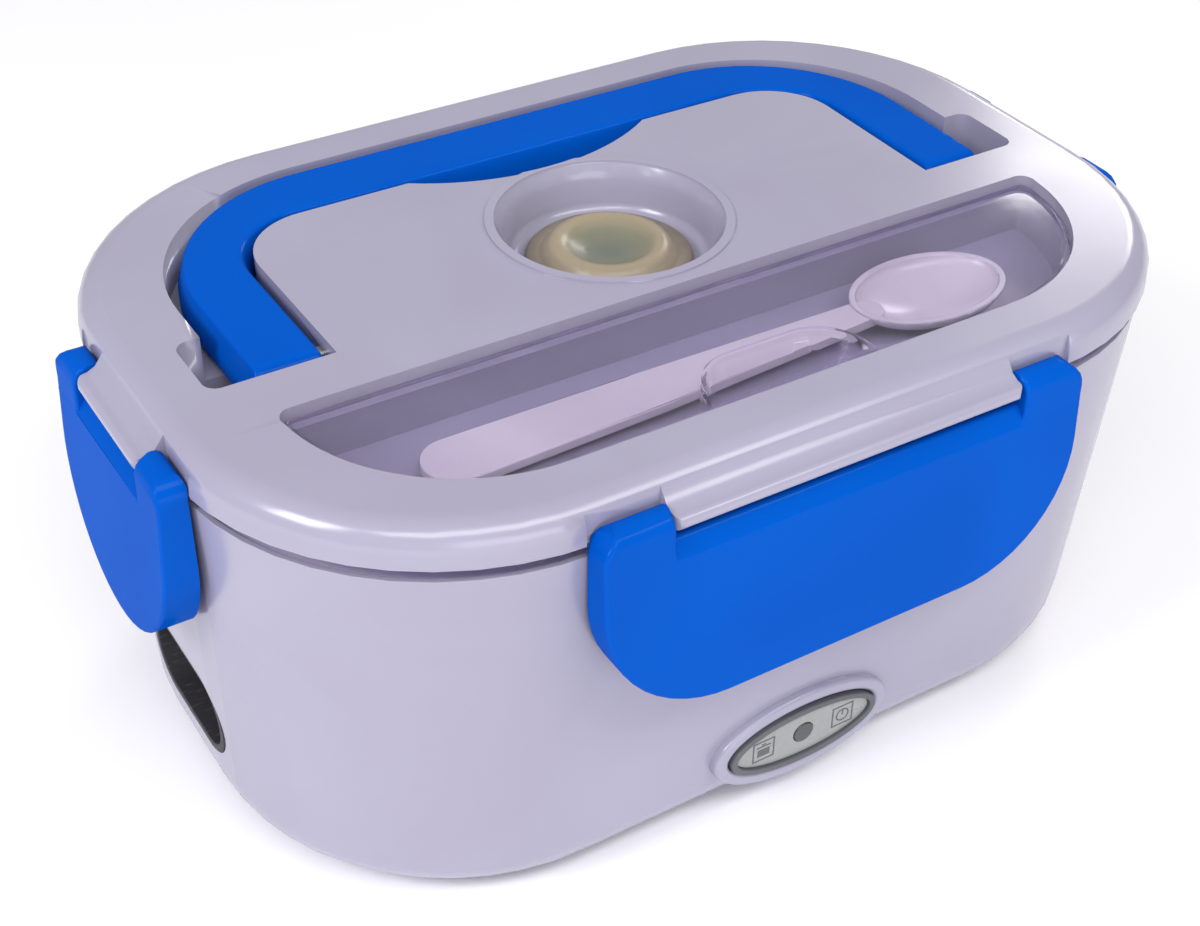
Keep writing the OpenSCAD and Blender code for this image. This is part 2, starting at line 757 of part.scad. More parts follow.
module indicator_bezel() {
  color([0.33, 0.34, 0.36])
  difference() {
    face_front(boss_y - bezel_proud, bezel_back_y) translate([0, indicator_z]) ellipse(bezel_half_x, bezel_half_z);
    face_front(boss_y - 2, bezel_back_y + 1) translate([0, indicator_z])
      ellipse(bezel_half_x - bezel_ring, bezel_half_z - bezel_ring);
  }
}

module inlet_socket() {
  color([0.16, 0.15, 0.18])
  difference() {
    face_end(inlet_face_x, inlet_back_x) translate([0, inlet_z])
      stadium(inlet_half_y - fit_gap, inlet_half_z - fit_gap);
    face_end(inlet_face_x - 1, step_x) translate([0, inlet_z]) stadium(inlet_half_y - 2, inlet_half_z - 2);
    face_end(step_x - 1, inlet_back_x - 1.5) translate([0, inlet_z]) stadium(pin_pitch / 2 + 3.4, 4.2);
    for (s = [-1, 1]) translate([0, s * pin_pitch / 2, inlet_z])
      rod_x(inlet_back_x - 2, inlet_back_x + 1, inlet_pin_r + run_gap);
  }
}

module inlet_pins() {
  color([0.83, 0.68, 0.35])
  for (s = [-1, 1]) translate([0, s * pin_pitch / 2, inlet_z]) {
    rod_x(step_x + 1, inlet_back_x + 3, inlet_pin_r);
    translate([step_x + 1, 0, 0]) sphere(r = inlet_pin_r);
  }
}

// ---- container ----

module food_container() {
  color([0.90, 0.89, 0.93])
  difference() {
    union() {
      tub(inset_size(tub_in), inset_size(tub_in + tub_taper), tub_low, rim_low + 0.5, tub_fillet);
      slab(rim_low, rim_top) lid_outline(rim_in);
    }
    tub(inset_size(tub_in + tub_wall), inset_size(tub_in + tub_taper + tub_wall), tub_low + tub_wall,
      rim_top + 1, tub_fillet - tub_wall);
  }
}

// The half of a shape round the origin that lies towards +X
module far_half() {
  intersection() {
    children();
    translate([0, -big / 2, -big / 2]) cube(big);
  }
}

// Middles of the side tray's corners: the outer two share theirs with the container
module at_tray_corners() {
  for (s = [-1, 1]) {
    translate([tub_mid_x, s * tub_mid_y, 0]) children(0);
    translate([tray_left + tray_corner, s * tray_mid_y, 0]) children(1);
  }
}

// Tub of the side tray, moved in by a wall, from z0 up to z1
module tray_tub(w, z0, z1) {
  edge = 0.3;
  f = tray_fillet - w;
  hull() {
    translate([0, 0, z1 - edge]) at_tray_corners() {
      far_half() cylinder(r = tray_outer_r - w, h = edge, $fn = 48);
      cylinder(r = tray_corner - w, h = edge, $fn = 48);
    }
    translate([0, 0, z0]) at_tray_corners() {
      far_half() edge_disc(tray_outer_r - tub_taper - w, f, f);
      edge_disc(tray_corner - tub_taper - w, f, f);
    }
  }
}

module side_tray() {
  z0 = tub_low + tub_wall + seat_gap;
  z1 = rim_top - tray_drop;
  color([0.93, 0.92, 0.95])
  difference() {
    union() {
      tray_tub(0, z0, z1);
      slab(z1 - tray_wall, z1) hull() at_tray_corners() {
        intersection() {
          circle(r = tray_outer_r + tray_lip);
          translate([0, -big / 2]) square(big);
        }
        circle(r = tray_corner + tray_lip);
      }
    }
    tray_tub(tray_wall, z0 + tray_wall, z1 + 1);
  }
}

// ---- lid ----

// Channel that the folded handle lies in
module channel(g) {
  intersection() {
    difference() {
      rounded(handle_out_x + channel_side + g, handle_out_y + channel_gap + g, handle_out_r + channel_side + g);
      rounded(arm_in_x - channel_gap - g, bar_in_y - 0.3 - g, handle_in_r - channel_gap - g);
    }
    translate([-big / 2, pit_front - g]) square([big, big]);
  }
}

// Pockets at the arm ends
module pits(g) {
  x0 = arm_in_x - channel_gap - g;
  x1 = handle_out_x + pit_side + g;
  for (s = [-1, 1]) translate([s * (x0 + x1) / 2, pit_front + pit_len / 2])
    rounded((x1 - x0) / 2, pit_len / 2 + g, 3 + g);
}

// Finger notch in front of the grip
module finger_notch(g) {
  y0 = bar_in_y - notch_in;
  intersection() {
    translate([0, y0 + notch_R]) circle(r = notch_R + g);
    translate([-notch_half - g, y0 - g - 1]) square([2 * (notch_half + g), notch_in + 3 + g]);
  }
}

// Half-moon outline of the spoon compartment
module spoon_bay(g) {
  hx = spoon_half_x + g;
  r = min(spoon_corner + g, hx - 1);
  rear = spoon_rear_y + g;
  front = spoon_front_y - g;
  c = max(3 + g, 0.6);
  difference() {
    intersection() {
      translate([0, front + r]) rounded(hx, r, r);
      translate([-big / 2, front - 1]) square([big, rear - front + 1]);
    }
    for (s = [-1, 1]) translate([s * hx, rear]) square(2 * c, center = true);
  }
  for (s = [-1, 1]) translate([s * (hx - c), rear - c]) circle(r = c);
}

// Steam well, grown by a wall
module well(g) {
  f = well_fillet + g;
  r0 = well_r + g;
  above = g > 0 ? -1 : 2;
  arc = [for (a = [0:15:75]) [well_floor_r + f * sin(a), well_floor + well_fillet - f * cos(a)]];
  translate([0, well_y, 0]) rotate_extrude() polygon(concat([[0, well_floor - g]], arc,
    [[r0 - 1.2, lid_top - 1.6], [r0, lid_top - 0.4], [r0, lid_top + above], [0, lid_top + above]]));
}

// Section of a hinge lip: x points out from the lid edge, y is z
module lip_section() {
  nose = 1.5;
  polygon([[-5, skirt_z], [-0.4, skirt_z], [-0.4, lip_low_z], [lip_reach - nose, lip_low_z],
    [lip_reach - nose, lip_low_z + 2 * nose], [2.4, lip_low_z + 3.1], [0.6, lip_low_z + 4],
    [-1.4, lid_top - 1.9], [-5, lid_top - 1.9]]);
  translate([lip_reach - nose, lip_low_z + nose]) circle(r = nose);
}

// Hinge lip with round outer corners
module hinge_lip(half) {
  intersection() {
    along_side(half) lip_section();
    slab(lip_low_z - 1, lid_top) translate([0, 2.5 - lip_reach / 2])
      rounded(half, 2.5 + lip_reach / 2, 2.2);
  }
}

// Room in the lid for the round ears of a latch, at both ends of a lip
module ear_room(half, latch_half) {
  r = ear_r + 0.4;
  for (s = [-1, 1]) translate([s * (half + latch_half + 0.4) / 2, 0, 0])
    along_side((latch_half - half + 0.4) / 2) {
      translate([pivot_u, pivot_z]) circle(r = r);
      translate([pivot_u - r, pivot_z]) square([2 * r, 10]);
    }
}

// Thicker wall behind the ears
module ear_backing(latch_half) {
  front = -1.8;
  back = front - ear_r + 1;
  along_side(latch_half + 2) translate([back, skirt_z]) square([front - back, pivot_z + 3.6 - skirt_z]);
}

// Blind holes for a lip's two pins, or the pins themselves
module pin_pair(half, r, reach_in, reach_out) {
  for (s = [0, 180]) translate([0, -pivot_u, pivot_z]) rotate([0, 0, s])
    rod_x(half - reach_in, half + reach_out, r);
}

module lid_shell() {
  color([0.82, 0.79, 0.88])
  difference() {
    union() {
      difference() {
        lid_form();
        slab(skirt_z - 1, lid_top - lid_wall) lid_outline(lid_wall);
      }
      slab(channel_z - pocket_wall, lid_top - 1) channel(pocket_wall);
      slab(pit_z - pocket_wall, lid_top - 1) pits(pocket_wall);
      slab(channel_z - pocket_wall, lid_top - 1) finger_notch(pocket_wall);
      slab(spoon_floor - pocket_wall, lid_top - 1) spoon_bay(pocket_wall);
      well(pocket_wall);
      translate([0, well_y, lid_top - 1]) difference() {
        cylinder(r = well_r + 2, h = 1.4);
        translate([0, 0, -1]) cylinder(r = well_r, h = 4);
      }
      on_all_sides() {
        hinge_lip(lip_half_long);
        hinge_lip(lip_half_short);
      }
      on_all_sides() {
        ear_backing(latch_half_long);
        ear_backing(latch_half_short);
      }
      // Bosses for the handle's hinge pins
      for (s = [0, 180]) rotate([0, 0, s]) translate([0, s == 0 ? handle_pin_y : -handle_pin_y, handle_z])
        rod_x(arm_in_x - channel_gap - 8, arm_in_x - channel_gap - 0.5, handle_pin_r + 1.7);
    }
    slab(channel_z, lid_top + 2) channel(0);
    slab(pit_z, lid_top + 2) pits(0);
    slab(channel_z, lid_top + 2) finger_notch(0);
    slab(spoon_floor, lid_top + 2) spoon_bay(-cover_ledge);
    slab(ledge_top, lid_top + 2) spoon_bay(0);
    well(0);
    translate([0, well_y, liner_low]) cylinder(r = steam_hole_r, h = lid_top - liner_low);
    on_all_sides() {
      ear_room(lip_half_long, latch_half_long);
      ear_room(lip_half_short, latch_half_short);
    }
    on_all_sides() {
      pin_pair(lip_half_long, latch_pin_r + run_gap, latch_pin_reach + 0.2, 2);
      pin_pair(lip_half_short, latch_pin_r + run_gap, latch_pin_reach + 0.2, 2);
    }
    for (s = [0, 180]) rotate([0, 0, s]) translate([0, s == 0 ? handle_pin_y : -handle_pin_y, handle_z])
      rod_x(arm_in_x - channel_gap - 6.4, arm_in_x, handle_pin_r + run_gap);
  }
}

module lid_liner() {
  color([0.88, 0.86, 0.92])
  difference() {
    union() {
      slab(liner_low, liner_top) lid_outline(liner_inset);
      slab(liner_low, lid_top - lid_wall) difference() {
        lid_outline(liner_inset);
        lid_outline(liner_inset + liner_t);
      }
    }
    slab(liner_low - 1, liner_low + 0.8) gasket_ring(0.1);
    translate([0, well_y, liner_low - 1]) cylinder(r = steam_hole_r + 1, h = liner_t + 2);
  }
}

// Gasket outline, grown by a fit gap
module gasket_ring(g) {
  d = liner_inset + 1.6;
  difference() {
    lid_outline(d - g);
    lid_outline(d + gasket_w + g);
  }
}

module lid_gasket() {
  color([0.72, 0.71, 0.76])
  slab(gasket_low, liner_low + 0.8) gasket_ring(0);
}

module steam_plug() {
  dish = 10;
  color([0.69, 0.66, 0.48])
  translate([0, well_y, plug_low]) rotate_extrude() polygon([[0, -2.6], [steam_hole_r - 0.3, -2.6],
    [steam_hole_r - 0.3, 0], [plug_r, 0], [plug_r, 1.4], [plug_r - 0.6, 2], [plug_dome_r + 0.9, 2],
    [plug_dome_r, 2.9], [plug_dome_r - 0.5, plug_h - 2], [plug_dome_r - 1.6, plug_h - 0.6],
    [plug_dome_r - 3, plug_h], [dish, plug_h - 0.4], [dish - 2, plug_h - 1.8], [dish - 5, plug_h - 3.1],
    [0, plug_h - 3.4]]);
}

// ---- spoon compartment ----

// Finger pocket at the front of the clear cover, grown by a wall
module grip_pocket(g) {
  intersection() {
    translate([grip_x, grip_y]) rounded(grip_half + g, grip_reach + g, grip_corner + g);
    translate([grip_x - grip_half - g, grip_y - g]) square([2 * (grip_half + g), grip_reach + 2 * g]);
  }
}

module spoon_cover() {
  pocket_z = cover_top - grip_depth;
  color([0.85, 0.84, 0.92, 0.45])
  difference() {
    union() {
      slab(cover_low, cover_top) spoon_bay(-seat_gap);
      // Raised line inside the edge
      slab(cover_top - eps, cover_top + 0.6) difference() {
        spoon_bay(-seat_gap - 0.8);
        spoon_bay(-seat_gap - 1.6);
      }
      slab(pocket_z - grip_wall, cover_top) grip_pocket(grip_wall);
      slab(cover_low, cover_top + 0.8) grip_pocket(grip_wall);
    }
    slab(pocket_z, cover_top + 2) grip_pocket(0);
  }
}

module spoon() {
  bowl_x = spoon_len / 2 - spoon_bowl_w * 0.75;
  bowl_a = spoon_bowl_w * 0.75;
  bowl_b = spoon_bowl_w / 2;
  neck_x = -spoon_len / 7;
  grip_end = spoon_grip_r - spoon_len / 2;
  color([0.92, 0.86, 0.92])
  translate([spoon_x, spoon_y, spoon_z]) {
    difference() {
      translate([bowl_x, 0, spoon_bowl_h]) intersection() {
        scale([bowl_a, bowl_b, spoon_bowl_h]) sphere(r = 1, $fn = 40);
        translate([-big / 2, -big / 2, -10]) cube([big, big, 10]);
      }
      translate([bowl_x, 0, spoon_bowl_h + 0.1])
        scale([bowl_a - 1.4, bowl_b - 1.4, spoon_bowl_h - 1.3]) sphere(r = 1, $fn = 40);
    }
    hull() {
      translate([grip_end, 0, 1.6]) cylinder(r = spoon_grip_r, h = spoon_t, $fn = 32);
      translate([neck_x, 0, 2.2]) cylinder(r = spoon_grip_r - 1, h = spoon_t, $fn = 32);
    }
    hull() {
      translate([neck_x, 0, 2.2]) cylinder(r = spoon_grip_r - 1, h = spoon_t, $fn = 32);
      translate([bowl_x - bowl_a + 3, 0, 3.4]) cylinder(r = 3.4, h = spoon_t, $fn = 32);
    }
  }
}

// ---- latches ----

// How far out a latch's face lies from the lid edge at height z
function face_u(z) = let (top = pivot_z - 4.6, u = lip_reach + 0.4)
  u + (latch_low_reach - u) * (top - z) / (top - latch_low_z);

// Section through a latch between its ears, moved in by a wall
module latch_section(w) {
  low = latch_low_z - 6;
  front = [[face_u(low) - w, low], [face_u(latch_bend_z) - w, latch_bend_z - 0.4 * w],
    [3 - w, latch_top_z - w]];
  back = w > 0 ? -6 : latch_back_u;
  polygon(concat([[back, low]], front, [[back, latch_top_z - w]]));
}

// Section through an ear: a round top about the hinge line, drawn out to the latch's face
module ear_section() {
  low = pivot_z - 12;
  face = [[face_u(low), low], [face_u(pivot_z - 5), pivot_z - 5], [pivot_u + ear_front, pivot_z - 0.8],
    [pivot_u + ear_front - 0.6, pivot_z + 0.9], [pivot_u + ear_front - 1.6, pivot_z + 1.9]];
  top = [for (a = [70:10:190]) [pivot_u + ear_r * cos(a), pivot_z + ear_r * sin(a)]];
  back = [[latch_back_u, pivot_z - 2], [latch_back_u, low]];
  polygon(concat(face, top, back));
}

// Front view of a latch down to a height, moved in by a wall
module latch_face(half, low, w) {
  r = latch_corner - w;
  xc = max(0, half - latch_corner);
  zc = low + latch_corner;
  steps = 12;
  a0 = acos(min(1, (half - w - xc) / r));
  arc = [for (i = [0:steps]) let (a = a0 + (90 - a0) * i / steps) [xc + r * cos(a), zc - r * sin(a)]];
  other = [for (i = [xc > 0 ? 0 : 1:steps]) [-arc[steps - i][0], arc[steps - i][1]]];
  k = latch_top_corner - w;
  tip = [for (a = [90:-15:0]) [half - w - k + k * cos(a), pivot_z + ear_r - w - k + k * sin(a)]];
  tip_left = [for (i = [len(tip) - 1:-1:0]) [-tip[i][0], tip[i][1]]];
  polygon(concat(tip, arc, other, tip_left));
}

module latch(half, lip_half, bead_half, low) {
  ear = (half - lip_half - ear_gap) / 2;
  rib_z = bead_z - 3.4;
  rib_u = 0.35;
  difference() {
    intersection() {
      union() {
        along_side(half) latch_section(0);
        for (s = [-1, 1]) translate([s * (half - ear), 0, 0]) along_side(ear) ear_section();
      }
      face_front(-latch_through, latch_through) latch_face(half, low, 0);
    }
    intersection() {
      along_side(half) latch_section(latch_wall);
      face_front(-latch_through, latch_through) latch_face(half, low, latch_wall);
    }
    pin_pair(lip_half, latch_pin_r + run_gap, 1, latch_pin_reach + ear_gap + 0.3);
    // Way for the body's bead when the lid lifts off
    along_side(bead_half + 0.6) translate([-6, low - 1]) square([6 + rib_u, bead_z + 2.4 - low]);
  }
  // Rib that snaps under the body's bead
  along_side(bead_half) polygon([[rib_u, rib_z + 0.8], [face_u(rib_z) - 1, rib_z - 1.2],
    [face_u(rib_z) - 1, rib_z + 1.4], [rib_u, rib_z + 1.6]]);
}

// A latch of a long side and one of a short side
module long_latch() {
  color([0.0, 0.36, 0.83]) latch(latch_half_long, lip_half_long, bead_half_long, latch_low_z);
}

module short_latch() {
  color([0.0, 0.36, 0.83])
    latch(latch_half_short, lip_half_short, bead_half_short, latch_low_z - short_drop);
}

module latch_front() { on_front() long_latch(); }
module latch_rear() { on_rear() long_latch(); }
module latch_left() { on_left() short_latch(); }
module latch_right() { on_right() short_latch(); }

module latch_pins() {
  color([0.70, 0.71, 0.73])
  on_all_sides() {
    pin_pair(lip_half_long, latch_pin_r, latch_pin_reach, latch_pin_reach + ear_gap);
    pin_pair(lip_half_short, latch_pin_r, latch_pin_reach, latch_pin_reach + ear_gap);
  }
}

// ---- handle ----

// Side view of the handle: round nose round the hinge line
module handle_side() {
  nose_y = handle_pin_y - handle_nose;
  r = 3;
  translate([nose_y + r, handle_low]) square([handle_out_y - nose_y, handle_t]);
  translate([nose_y, handle_low + r]) square([10, handle_t - 2 * r]);
  for (z = [handle_low + r, lid_top - r]) translate([nose_y + r, z]) circle(r = r);
}

module handle() {
  color([0.0, 0.38, 0.85])
  difference() {
    intersection() {
      slab(handle_low, lid_top) difference() {
        rounded(handle_out_x, handle_out_y, handle_out_r);
        rounded(arm_in_x, bar_in_y, handle_in_r);
      }
      face_end(-big / 2, big / 2) handle_side();
    }
    for (s = [-1, 1]) translate([0, handle_pin_y, handle_z]) rotate([0, 0, s > 0 ? 0 : 180])
      rod_x(arm_in_x - 1, arm_in_x + 12.4, handle_pin_r + run_gap);
  }
}

module handle_pins() {
  color([0.70, 0.71, 0.73])
  for (s = [0, 180]) translate([0, handle_pin_y, handle_z]) rotate([0, 0, s])
    rod_x(arm_in_x - channel_gap - 6.2, arm_in_x + 12, handle_pin_r);
}

outer_shell();
inner_basin();
base_cover();
feet();
base_screws();
heating_plate();
ptc_heater();
heater_clamp();
clamp_screws();
thermostat();
thermal_fuse();
mains_wires();
led_wires();
led_board();
indicator_led();
indicator_panel();
indicator_bezel();
inlet_socket();
inlet_pins();
food_container();
side_tray();
lid_shell();
lid_liner();
lid_gasket();
steam_plug();
spoon_cover();
spoon();
latch_front();
latch_rear();
latch_left();
latch_right();
latch_pins();
handle();
handle_pins();
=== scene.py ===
import json
import math

import bmesh
import bpy
from mathutils import Matrix, Vector


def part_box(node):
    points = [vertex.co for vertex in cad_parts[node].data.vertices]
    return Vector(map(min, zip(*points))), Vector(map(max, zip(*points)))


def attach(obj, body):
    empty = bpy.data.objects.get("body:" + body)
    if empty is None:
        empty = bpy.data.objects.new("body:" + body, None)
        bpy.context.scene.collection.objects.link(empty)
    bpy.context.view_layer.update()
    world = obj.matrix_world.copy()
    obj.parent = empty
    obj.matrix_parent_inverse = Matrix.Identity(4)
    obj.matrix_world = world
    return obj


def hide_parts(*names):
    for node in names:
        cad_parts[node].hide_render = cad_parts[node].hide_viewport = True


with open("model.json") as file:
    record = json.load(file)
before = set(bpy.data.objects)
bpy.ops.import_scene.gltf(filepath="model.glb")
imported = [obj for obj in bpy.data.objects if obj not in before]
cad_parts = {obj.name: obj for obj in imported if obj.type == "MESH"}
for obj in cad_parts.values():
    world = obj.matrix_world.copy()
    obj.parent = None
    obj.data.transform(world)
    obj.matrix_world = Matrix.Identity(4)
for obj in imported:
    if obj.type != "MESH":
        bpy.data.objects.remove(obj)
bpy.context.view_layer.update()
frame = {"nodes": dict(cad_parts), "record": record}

bl_info = {
    "name": "Heated Lunch Box",
    "version": (1, 0, 0),
    "blender": (4, 5, 0),
    "location": "View3D > Sidebar > Lunch Box",
    "description": "Dresses the pieces of a mains-heated lunch box and sets it on a plain stage",
    "category": "Object",
}

MM = 0.001

# Where edges are rounded and shading is smooth, as the angle between two faces
SHARP_TURN = math.radians(30)
FOLDED_TURN = math.radians(150)
SMOOTH_TURN = math.radians(32)
SPOON_SMOOTH_TURN = math.radians(50)

# Points, edges and planes closer than these are merged, and heights closer than LEVEL are one height
SAME_POINT = 0.004 * MM
SAME_EDGE = 0.002 * MM
ON_CUT = 0.001 * MM
SAME_PLANE = math.radians(0.03)
LEVEL = 0.1 * MM

# Round these axes the edges stay as they are: the steam plug's well and the handle's pins
WELL_REACH = 32 * MM
PIN_REACH = 2.6 * MM

# The stage: name, place, size, watts and tint of each lamp, which all look at one spot over the floor,
# and half the floor's side
LAMPS = (
    ("window_front", (-0.2, -1.25, 0.33), (0.9, 0.5), 3.6, "#fbfaff"),
    ("window_left", (-0.95, -0.1, 0.8), (0.4, 0.4), 6.5, "#faf9ff"),
    ("ceiling_front", (-0.06, -0.62, 0.95), (1.5, 0.3), 7.5, "#fffefc"),
    ("window_rear_right", (0.95, 0.6, 0.52), (0.35, 0.3), 2.6, "#fffdfa"),
)
LIT_SPOT = Vector((0, 0, 50 * MM))
ROOM_TINT = "#fdfcff"
ROOM_LIGHT = 0.5
FLOOR_REACH = 6.0

# The camera: where it stands, its turns in radians, its lens in millimetres and its shift
CAMERA_PLACE = (-0.19149, -0.29744, 0.309)
CAMERA_YAW = 0.579
CAMERA_PITCH = 0.646
CAMERA_ROLL = 0.026
SENSOR_WIDTH = 36.0
FOCAL_LENGTH = 57.46
LENS_SHIFT = (-0.0292, 0.0007)

BODY_OF = {
    node: body
    for body, members in frame["record"]["behaviour"]["bodies"].items()
    for node in members
}


def linear(code):
    """An sRGB hex colour as the linear red, green, blue and alpha that a socket takes."""
    parts = [int(code[i : i + 2], 16) / 255 for i in (1, 3, 5)]
    return tuple(p / 12.92 if p <= 0.04045 else ((p + 0.055) / 1.055) ** 2.4 for p in parts) + (1.0,)


# ---------------------------------------------------------------- sizes and colours


def colour(name, code, description):
    """A colour property whose default is an sRGB hex value."""
    return bpy.props.FloatVectorProperty(
        name=name, description=description, subtype="COLOR", size=4, min=0, max=1, default=linear(code)
    )


def length(name, millimetres, description):
    """A length property whose default is in millimetres."""
    return bpy.props.FloatProperty(
        name=name, description=description, unit="LENGTH", subtype="DISTANCE", min=0,
        default=millimetres * MM,
    )


class LunchBoxColours(bpy.types.PropertyGroup):
    shell: colour("Shell", "#a09db1", "Pale lilac of the body and the lid")
    shell_shade: colour("Shell shade", "#9c98ac", "Slightly deeper lilac where the melt flowed unevenly")
    accent: colour("Latches and handle", "#0053ba", "Bright blue of the moving outside parts")
    accent_shade: colour("Accent shade", "#004fb4", "Deeper blue in the flow marks of the same parts")
    basin: colour("Basin", "#dcd5ee", "Lilac white of the heat-proof inner tub")
    boxes: colour("Food boxes", "#ece9f3", "Milky white of the two food boxes")
    gasket: colour("Gasket", "#a79fbe", "Lilac grey of the lid's silicone ring")
    window: colour("Spoon cover", "#f3effb", "Tint of the clear cover over the spoon")
    spoon: colour("Spoon", "#dcd6dc", "Pale plastic of the spoon")
    bezel: colour("Bezel", "#56585c", "Dark grey ring round the indicator")
    panel: colour("Panel", "#9a9d9b", "Grey printed panel of the indicator")
    ink: colour("Pictograms", "#4b4e50", "Dark grey ink of the two pictograms")
    floor: colour("Floor", "#fefeff", "Pale floor that the box stands on")


class LunchBoxSizes(bpy.types.PropertyGroup):
    accent_edge: length("Blue edge", 0.9, "Rounding along the edges of the long latches and the handle")
    short_latch_edge: length("Short latch edge", 0.63, "Rounding along the edges of the short latches")
    brow_edge: length("Brow edge", 1.2, "Rounding along the edges of the hollows in the lid's top")
    shell_edge: length("Shell edge", 1.1, "Rounding along the edge of the boss round the indicator")
    rim_edge: length("Rim edge", 0.15, "Rounding along the top of the outer shell")
    inner_edge: length("Inner edge", 0.3, "Rounding along the edges of the parts inside")
    window_edge: length("Cover edge", 0.3, "Rounding along the edges of the clear spoon cover")
    metal_edge: length("Metal edge", 0.15, "Broken edge of the metal parts")
    ink_height: length("Ink height", 0.05, "How far the printed pictograms stand above their panel")
    pictogram: length("Pictogram", 5.6, "Width of each square pictogram")
    pictogram_line: length("Pictogram line", 0.35, "Width of the lines of the pictograms")
    pictogram_place: length("Pictogram place", 10.4, "Distance of each pictogram from the lamp")
    handle_draft: length("Handle draft", 1.5, "How far the handle's sides lean in at the top")
    handle_flank: length("Handle flank", 5.0, "Height of the handle's leaning sides")


# ---------------------------------------------------------------- materials


def add(tree, kind, settings=None, links=None):
    """Adds a node, sets its properties (small letters) and sockets (numbers or capitals), and links it."""
    made = tree.nodes.new("ShaderNode" + kind)
    for key, value in (settings or {}).items():
        if isinstance(key, int) or key[0].isupper():
            made.inputs[key].default_value = value
        else:
            setattr(made, key, value)
    for key, source in (links or {}).items():
        tree.links.new(source, made.inputs[key])
    return made


def begin(name, **sockets):
    """A material with one principled shader, whose even values are set on its own sockets."""
    made = bpy.data.materials.new(name)
    made.use_nodes = True
    made.node_tree.nodes.clear()
    tree = made.node_tree
    shader = add(tree, "BsdfPrincipled", {key.replace("_", " "): value for key, value in sockets.items()})
    add(tree, "OutputMaterial", links={"Surface": shader.outputs["BSDF"]})
    return made, tree, shader, add(tree, "TexCoord").outputs["Object"]


def every(millimetres):
    """The scale of a pattern whose marks lie so many millimetres apart."""
    return 1 / (millimetres * MM)


def plastic(name, tones, rough, ripple, grain, relief, sockets=None):
    """Moulded plastic: cloudy flow in two tones, a long soft ripple, and the orange peel of the tool.

    grain is the spacing of the orange peel, drawn coarser on the large pieces than it is so that it shows.
    relief is its depth and ripple that of the long waves, both in millimetres too.
    """
    made, tree, shader, place = begin(name, **{"IOR": 1.49, **(sockets or {})})
    flow = add(
        tree, "TexNoise", {"Scale": every(45.5), "Detail": 3.0, "Roughness": 0.45, "Distortion": 0.6},
        {"Vector": place},
    )
    blend = add(tree, "MapRange", {"From Min": 0.35, "From Max": 0.65}, {"Value": flow.outputs["Fac"]})
    tone = add(
        tree, "Mix", {"data_type": "RGBA", 6: tuple(tones[0]), 7: tuple(tones[1])},
        {0: blend.outputs["Result"]},
    )
    tree.links.new(tone.outputs[2], shader.inputs["Base Color"])
    rub = add(tree, "TexNoise", {"Scale": every(14.3), "Detail": 3.0, "Roughness": 0.5}, {"Vector": place})
    sheen = add(
        tree, "MapRange", {"From Min": 0.3, "From Max": 0.7, "To Min": rough * 0.9, "To Max": rough * 1.12},
        {"Value": rub.outputs["Fac"]},
    )
    tree.links.new(sheen.outputs["Result"], shader.inputs["Roughness"])
    skin = add(tree, "TexNoise", {"Scale": every(grain), "Detail": 1.0}, {"Vector": place})
    fine = add(tree, "Bump", {"Strength": 1.0, "Distance": relief * MM}, {"Height": skin.outputs["Fac"]})
    sag = add(tree, "TexNoise", {"Scale": every(29.4), "Detail": 1.0}, {"Vector": place})
    wavy = add(
        tree, "Bump", {"Strength": 1.0, "Distance": ripple * MM},
        {"Height": sag.outputs["Fac"], "Normal": fine.outputs["Normal"]},
    )
    tree.links.new(wavy.outputs["Normal"], shader.inputs["Normal"])
    return made


def shell_plastic(c):
    # Polypropylene from a fine satin tool: a broad soft highlight on the flats, a bright line on the rims.
    return plastic(
        "polypropylene_lilac_satin", (c.shell, c.shell_shade),
        rough=0.2, ripple=0.03, grain=2.2, relief=0.002,
        sockets={"Specular_IOR_Level": 0.7},
    )


def blue_plastic(c):
    # Polypropylene with blue pigment from a polished tool: glossy, with faint swirls of the pigment.
    # The dense pigment keeps its depth of colour from every side, under a thin clear skin that shines.
    return plastic(
        "polypropylene_blue_gloss", (c.accent, c.accent_shade),
        rough=0.2, ripple=0.04, grain=2.4, relief=0.003,
        sockets={"Specular_IOR_Level": 0.0, "Coat_Weight": 0.1, "Coat_Roughness": 0.1},
    )


def basin_plastic(c):
    # Heat-stabilised polypropylene: whiter and duller than the shell, with a slightly orange-peel skin.
    return plastic(
        "polypropylene_heat_proof_white", (c.basin, linear("#d2c9ea")),
        rough=0.42, ripple=0.05, grain=1.8, relief=0.01,
    )


def cover_plastic(c):
    # Polypropylene from a spark-eroded tool: the underside is left with an even pebbled grain.
    return plastic(
        "polypropylene_spark_eroded", (c.shell_shade, linear("#beb7d4")),
        rough=0.55, ripple=0.03, grain=1.6, relief=0.06,
    )


def box_plastic(c):
    # Natural polypropylene: milky, with a little light carried inside it, smooth from a polished tool.
    return plastic(
        "polypropylene_milky", (c.boxes, linear("#e2deec")),
        rough=0.3, ripple=0.05, grain=2.0, relief=0.006,
        sockets={
            "Subsurface_Weight": 0.12, "Subsurface_Scale": 1.0,
            "Subsurface_Radius": (4 * MM, 4 * MM, 4 * MM),
        },
    )


def tray_plastic(c):
    # The same milky polypropylene in a second tool with a finer satin skin.
    return plastic(
        "polypropylene_milky_satin", (c.boxes, linear("#e6e2ee")),
        rough=0.38, ripple=0.04, grain=1.6, relief=0.01,
    )


def spoon_plastic(c):
    # Polystyrene spoon: glossy and slightly pink-white, with faint clouds of flow.
    return plastic(
        "polystyrene_white_gloss", (c.spoon, linear("#cfc7d1")),
        rough=0.2, ripple=0.06, grain=1.8, relief=0.004,
        sockets={"IOR": 1.59},
    )


